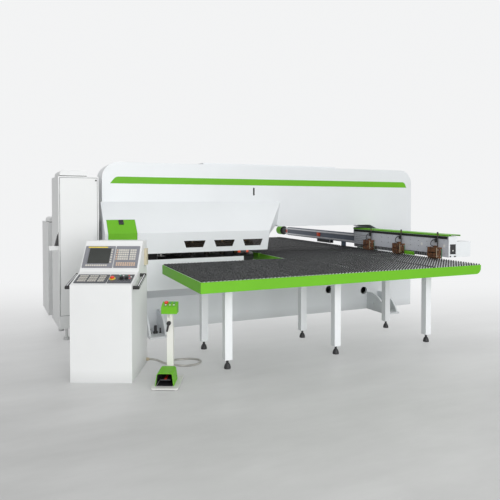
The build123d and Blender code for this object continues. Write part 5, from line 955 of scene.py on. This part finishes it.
for near, far in TRACK_SPANS:
    track.append(((track_face, near, TRACK_HEIGHTS[0]), (BEAM_FACE, far, TRACK_HEIGHTS[1])))
    for y in range(near + NUT_MARGIN, far - NUT_MARGIN, NUT_PITCH):
        nuts.append(((track_face - NUT_HALF, y - NUT_HALF, NUT_HEIGHTS[0]),
                     (track_face, y + NUT_HALF, NUT_HEIGHTS[1])))
# Black rail, partly painted shade below the carriage plate
boxes("clamp_track_and_shade", track, cast_black, "carriage", bevel=1.5)
boxes("track_nuts", nuts, rail_steel, "carriage", bevel=1.5)

# Clamps: pads, pale strip along the edge, screws, post with its sleeve and top, and port block
for number, y in enumerate(CLAMP_YS, start=1):
    near = y + CLAMP_NEAR
    boxes(f"clamp_pads_{number}", [((PAD_SPAN[0], near, PAD_HEIGHTS[0]),
                                    (PAD_SPAN[1], near + 3, PAD_HEIGHTS[1]))], green_lamp, "carriage",
          bevel=1)
    boxes(f"clamp_edge_{number}", [((EDGE_SPAN[0], near + 1, EDGE_BOTTOM),
                                    (EDGE_SPAN[1], near + 5, CLAMP_TOP - 2))], beige, "carriage",
          bevel=0.4)
    discs(f"clamp_screws_{number}", [(x, near, z) for x, z in SIDE_SCREWS], SIDE_SCREW_RADIUS,
          SIDE_SCREW_LENGTH, turned_steel, "carriage", axis="Y", sides=16)
    discs(f"clamp_top_screws_{number}", [(x, y + TOP_SCREW_Y, CLAMP_TOP) for x in TOP_SCREW_XS],
          TOP_SCREW_RADIUS, TOP_SCREW_LENGTH, cast_black, "carriage", sides=16)
    discs(f"post_sleeve_{number}", [(POST_X, y + POST_Y, CLAMP_TOP)], POST_RADIUS, POST_HEIGHT,
          black_plastic, "carriage", bevel=0.4, sides=20)
    discs(f"post_top_{number}", [(POST_X, y + POST_Y, KNOB_Z)], KNOB_RADIUS, KNOB_HEIGHT, black_plastic,
          "carriage", bevel=2, sides=20)
    low, high = [(BEAM_FACE + corner[0], y + corner[1], corner[2]) for corner in (PORT_LOW, PORT_HIGH)]
    boxes(f"port_{number}", [(low, high)], black_plastic, "carriage", bevel=1)

# Far end of the beam: green drum on the black motor, red centre on the pale flange, black trunking
mesh = bmesh.new()
add_disc(mesh, DRUM_PLACE, DRUM_RADIUS, DRUM_LENGTH, "Y", 56)
finish_mesh("drum_skin", mesh, green_paint, "beam", bevel=2)
discs("flange_centre", [FLANGE_PLACE], FLANGE_RADIUS, 3, red_plastic, "beam", axis="X", bevel=1)
left, near, bottom = TRUNKING_LOW
right, far, top = TRUNKING_HIGH
boxes("trunking", [((left + TRUNKING_SKIN, near + TRUNKING_CAP, bottom + TRUNKING_SKIN),
                    (right - TRUNKING_SKIN, far - TRUNKING_CAP, top - TRUNKING_SKIN / 2))],
      cast_black, "beam", bevel=1)
boxes("trunking_ends", [((left, y, bottom), (right, y + TRUNKING_CAP, top))
                        for y in (near, far - TRUNKING_CAP)], white_plastic, "beam", bevel=1)

# Hoses from the port blocks down to the clamps
elbow_z = CLAMP_TOP + ELBOW_RISE
for number, y in enumerate(CLAMP_YS, start=1):
    start = (BEAM_FACE - 10, y + 17, HOSE_Z)
    points = [
        start,
        (BEAM_FACE - 10, y + 47, HOSE_Z),
        (BEAM_FACE - 13, y + 74, HOSE_Z - 5),
        (BEAM_FACE - 21, y + 86, HOSE_Z - 27),
        (BEAM_FACE - 37, y + 82, elbow_z + 22),
        (JAW_X, y + 47, elbow_z),
        (JAW_X, y - 13, elbow_z),
    ]
    curve(f"clamp_hose_{number}", points, HOSE_DIAMETER, rubber, "carriage")

# Conduit on the floor
console_right = console_place.to_3x3() @ Vector((1, 0, 0))
stand_back = stand_place.to_3x3() @ Vector((0, 1, 0))
conduit_start = in_frame(console_place, CONSOLE_GLAND) + console_right * GLAND_LENGTH
conduit_end = in_frame(stand_place, POST_GLAND) + stand_back * GLAND_LENGTH
conduit_points = [tuple(conduit_start), tuple(conduit_start + console_right * CONDUIT_LEAD), *CONDUIT_ROUTE,
                  tuple(conduit_end + stand_back * CONDUIT_LEAD), tuple(conduit_end)]
conduit = curve("conduit_line", conduit_points, CONDUIT_DIAMETER, conduit_metal, "machine")
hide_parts("conduit")
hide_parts("clamp_hoses")

for node_name, width in SOFT_EDGES.items():
    soften(node_name, width)


# Floor, backdrop, light and camera
def direct_ray(nodes, links):
    """1 for rays that come from the camera, a reflection or a pane, else 0."""
    path = nodes.new("ShaderNodeLightPath")
    total = nodes.new("ShaderNodeMath")
    total.operation = "ADD"
    total.use_clamp = True
    links.new(path.outputs["Is Camera Ray"], total.inputs[0])
    links.new(path.outputs["Is Glossy Ray"], total.inputs[1])
    more = nodes.new("ShaderNodeMath")
    more.operation = "ADD"
    more.use_clamp = True
    links.new(total.outputs["Value"], more.inputs[0])
    links.new(path.outputs["Is Transmission Ray"], more.inputs[1])
    return more.outputs["Value"]


def floor_material():
    """Softly clouded pale floor that fades into the backdrop's colour with distance."""
    material = bpy.data.materials.new("studio_floor")
    material.use_nodes = True
    nodes = material.node_tree.nodes
    links = material.node_tree.links
    shader = nodes["Principled BSDF"]
    shader.inputs["Roughness"].default_value = 0.42
    place = nodes.new("ShaderNodeTexCoord")
    stretch = nodes.new("ShaderNodeMapping")
    stretch.inputs["Scale"].default_value = (0.5, 1.4, 1)
    clouds = nodes.new("ShaderNodeTexNoise")
    clouds.inputs["Scale"].default_value = 0.9
    clouds.inputs["Detail"].default_value = 8
    clouds.inputs["Roughness"].default_value = 0.62
    ramp = nodes.new("ShaderNodeValToRGB")
    ramp.color_ramp.elements[0].position = 0.3
    ramp.color_ramp.elements[1].position = 0.7
    ramp.color_ramp.elements[0].color = (*FLOOR_DARK, 1)
    ramp.color_ramp.elements[1].color = (*FLOOR_LIGHT, 1)
    links.new(place.outputs["Object"], stretch.inputs["Vector"])
    links.new(stretch.outputs["Vector"], clouds.inputs["Vector"])
    links.new(clouds.outputs["Fac"], ramp.inputs["Fac"])
    links.new(ramp.outputs["Color"], shader.inputs["Base Color"])
    yaw = math.radians(CAMERA_YAW)
    along = nodes.new("ShaderNodeVectorMath")
    along.operation = "DOT_PRODUCT"
    along.inputs[1].default_value = (math.sin(yaw), math.cos(yaw), 0)
    links.new(place.outputs["Object"], along.inputs[0])
    fade = nodes.new("ShaderNodeMapRange")
    fade.interpolation_type = "SMOOTHSTEP"
    fade.inputs["From Min"].default_value = FADE_START
    fade.inputs["From Max"].default_value = FADE_END
    links.new(along.outputs["Value"], fade.inputs["Value"])
    seen = nodes.new("ShaderNodeEmission")
    seen.inputs["Color"].default_value = (*BACKDROP, 1)
    share = nodes.new("ShaderNodeMath")
    share.operation = "MULTIPLY"
    links.new(fade.outputs["Result"], share.inputs[0])
    links.new(direct_ray(nodes, links), share.inputs[1])
    choose = nodes.new("ShaderNodeMixShader")
    links.new(share.outputs["Value"], choose.inputs["Fac"])
    links.new(shader.outputs["BSDF"], choose.inputs[1])
    links.new(seen.outputs["Emission"], choose.inputs[2])
    links.new(choose.outputs["Shader"], nodes["Material Output"].inputs["Surface"])
    return material


def studio():
    """Pale floor that sweeps up into a backdrop."""
    near, far = FLOOR_SPAN
    angles = [k * math.pi / 2 / SWEEP_STEPS for k in range(1, SWEEP_STEPS + 1)]
    profile = [(near, 0.0), (far, 0.0)]
    profile += [(far + SWEEP_RADIUS * math.sin(a), SWEEP_RADIUS * (1 - math.cos(a))) for a in angles]
    profile += [(far + SWEEP_RADIUS, WALL_TOP)]
    mesh_data = bmesh.new()
    rows = [[mesh_data.verts.new((x, y, z)) for y, z in profile] for x in (-FLOOR_HALF, FLOOR_HALF)]
    for k in range(len(profile) - 1):
        mesh_data.faces.new((rows[0][k], rows[1][k], rows[1][k + 1], rows[0][k + 1]))
    mesh = bpy.data.meshes.new("studio_floor")
    mesh_data.to_mesh(mesh)
    mesh_data.free()
    mesh.shade_smooth()
    mesh.materials.append(floor_material())
    floor = bpy.data.objects.new("studio_floor", mesh)
    bpy.context.collection.objects.link(floor)


def world_light(strength, backdrop):
    """Even white surroundings; rays that see them directly get the pale backdrop colour."""
    world = bpy.data.worlds.new("surroundings")
    bpy.context.scene.world = world
    world.use_nodes = True
    nodes = world.node_tree.nodes
    links = world.node_tree.links
    light = nodes["Background"]
    light.inputs["Color"].default_value = (1, 1, 1, 1)
    light.inputs["Strength"].default_value = strength
    seen = nodes.new("ShaderNodeBackground")
    seen.inputs["Color"].default_value = (*backdrop, 1)
    seen.inputs["Strength"].default_value = 1
    choose = nodes.new("ShaderNodeMixShader")
    links.new(direct_ray(nodes, links), choose.inputs["Fac"])
    links.new(light.outputs["Background"], choose.inputs[1])
    links.new(seen.outputs["Background"], choose.inputs[2])
    links.new(choose.outputs["Shader"], nodes["World Output"].inputs["Surface"])


def area_light(name, place, target, size, power):
    """Large soft lamp aimed at a point."""
    data = bpy.data.lights.new(name, "AREA")
    data.size = size
    data.energy = power
    lamp = bpy.data.objects.new(name, data)
    bpy.context.collection.objects.link(lamp)
    lamp.location = place
    lamp.rotation_euler = (Vector(target) - Vector(place)).to_track_quat("-Z", "Y").to_euler()


studio()
world_light(WORLD_STRENGTH, BACKDROP)
for lamp_values in LAMPS:
    area_light(*lamp_values)

camera_data = bpy.data.cameras.new("camera")
camera = bpy.data.objects.new("camera", camera_data)
bpy.context.collection.objects.link(camera)
camera.location = Vector(CAMERA_PLACE) * MM
camera.rotation_euler = (math.radians(90 - CAMERA_DOWN), 0, math.radians(-CAMERA_YAW))
camera_data.sensor_width = SENSOR_WIDTH
camera_data.lens = FOCAL_PIXELS * SENSOR_WIDTH / IMAGE_SIZE
camera_data.shift_y = -(IMAGE_SIZE / 2 - AXIS_ROW) / IMAGE_SIZE
camera_data.clip_end = 200
bpy.context.scene.camera = camera
bpy.context.scene.view_settings.view_transform = "Standard"
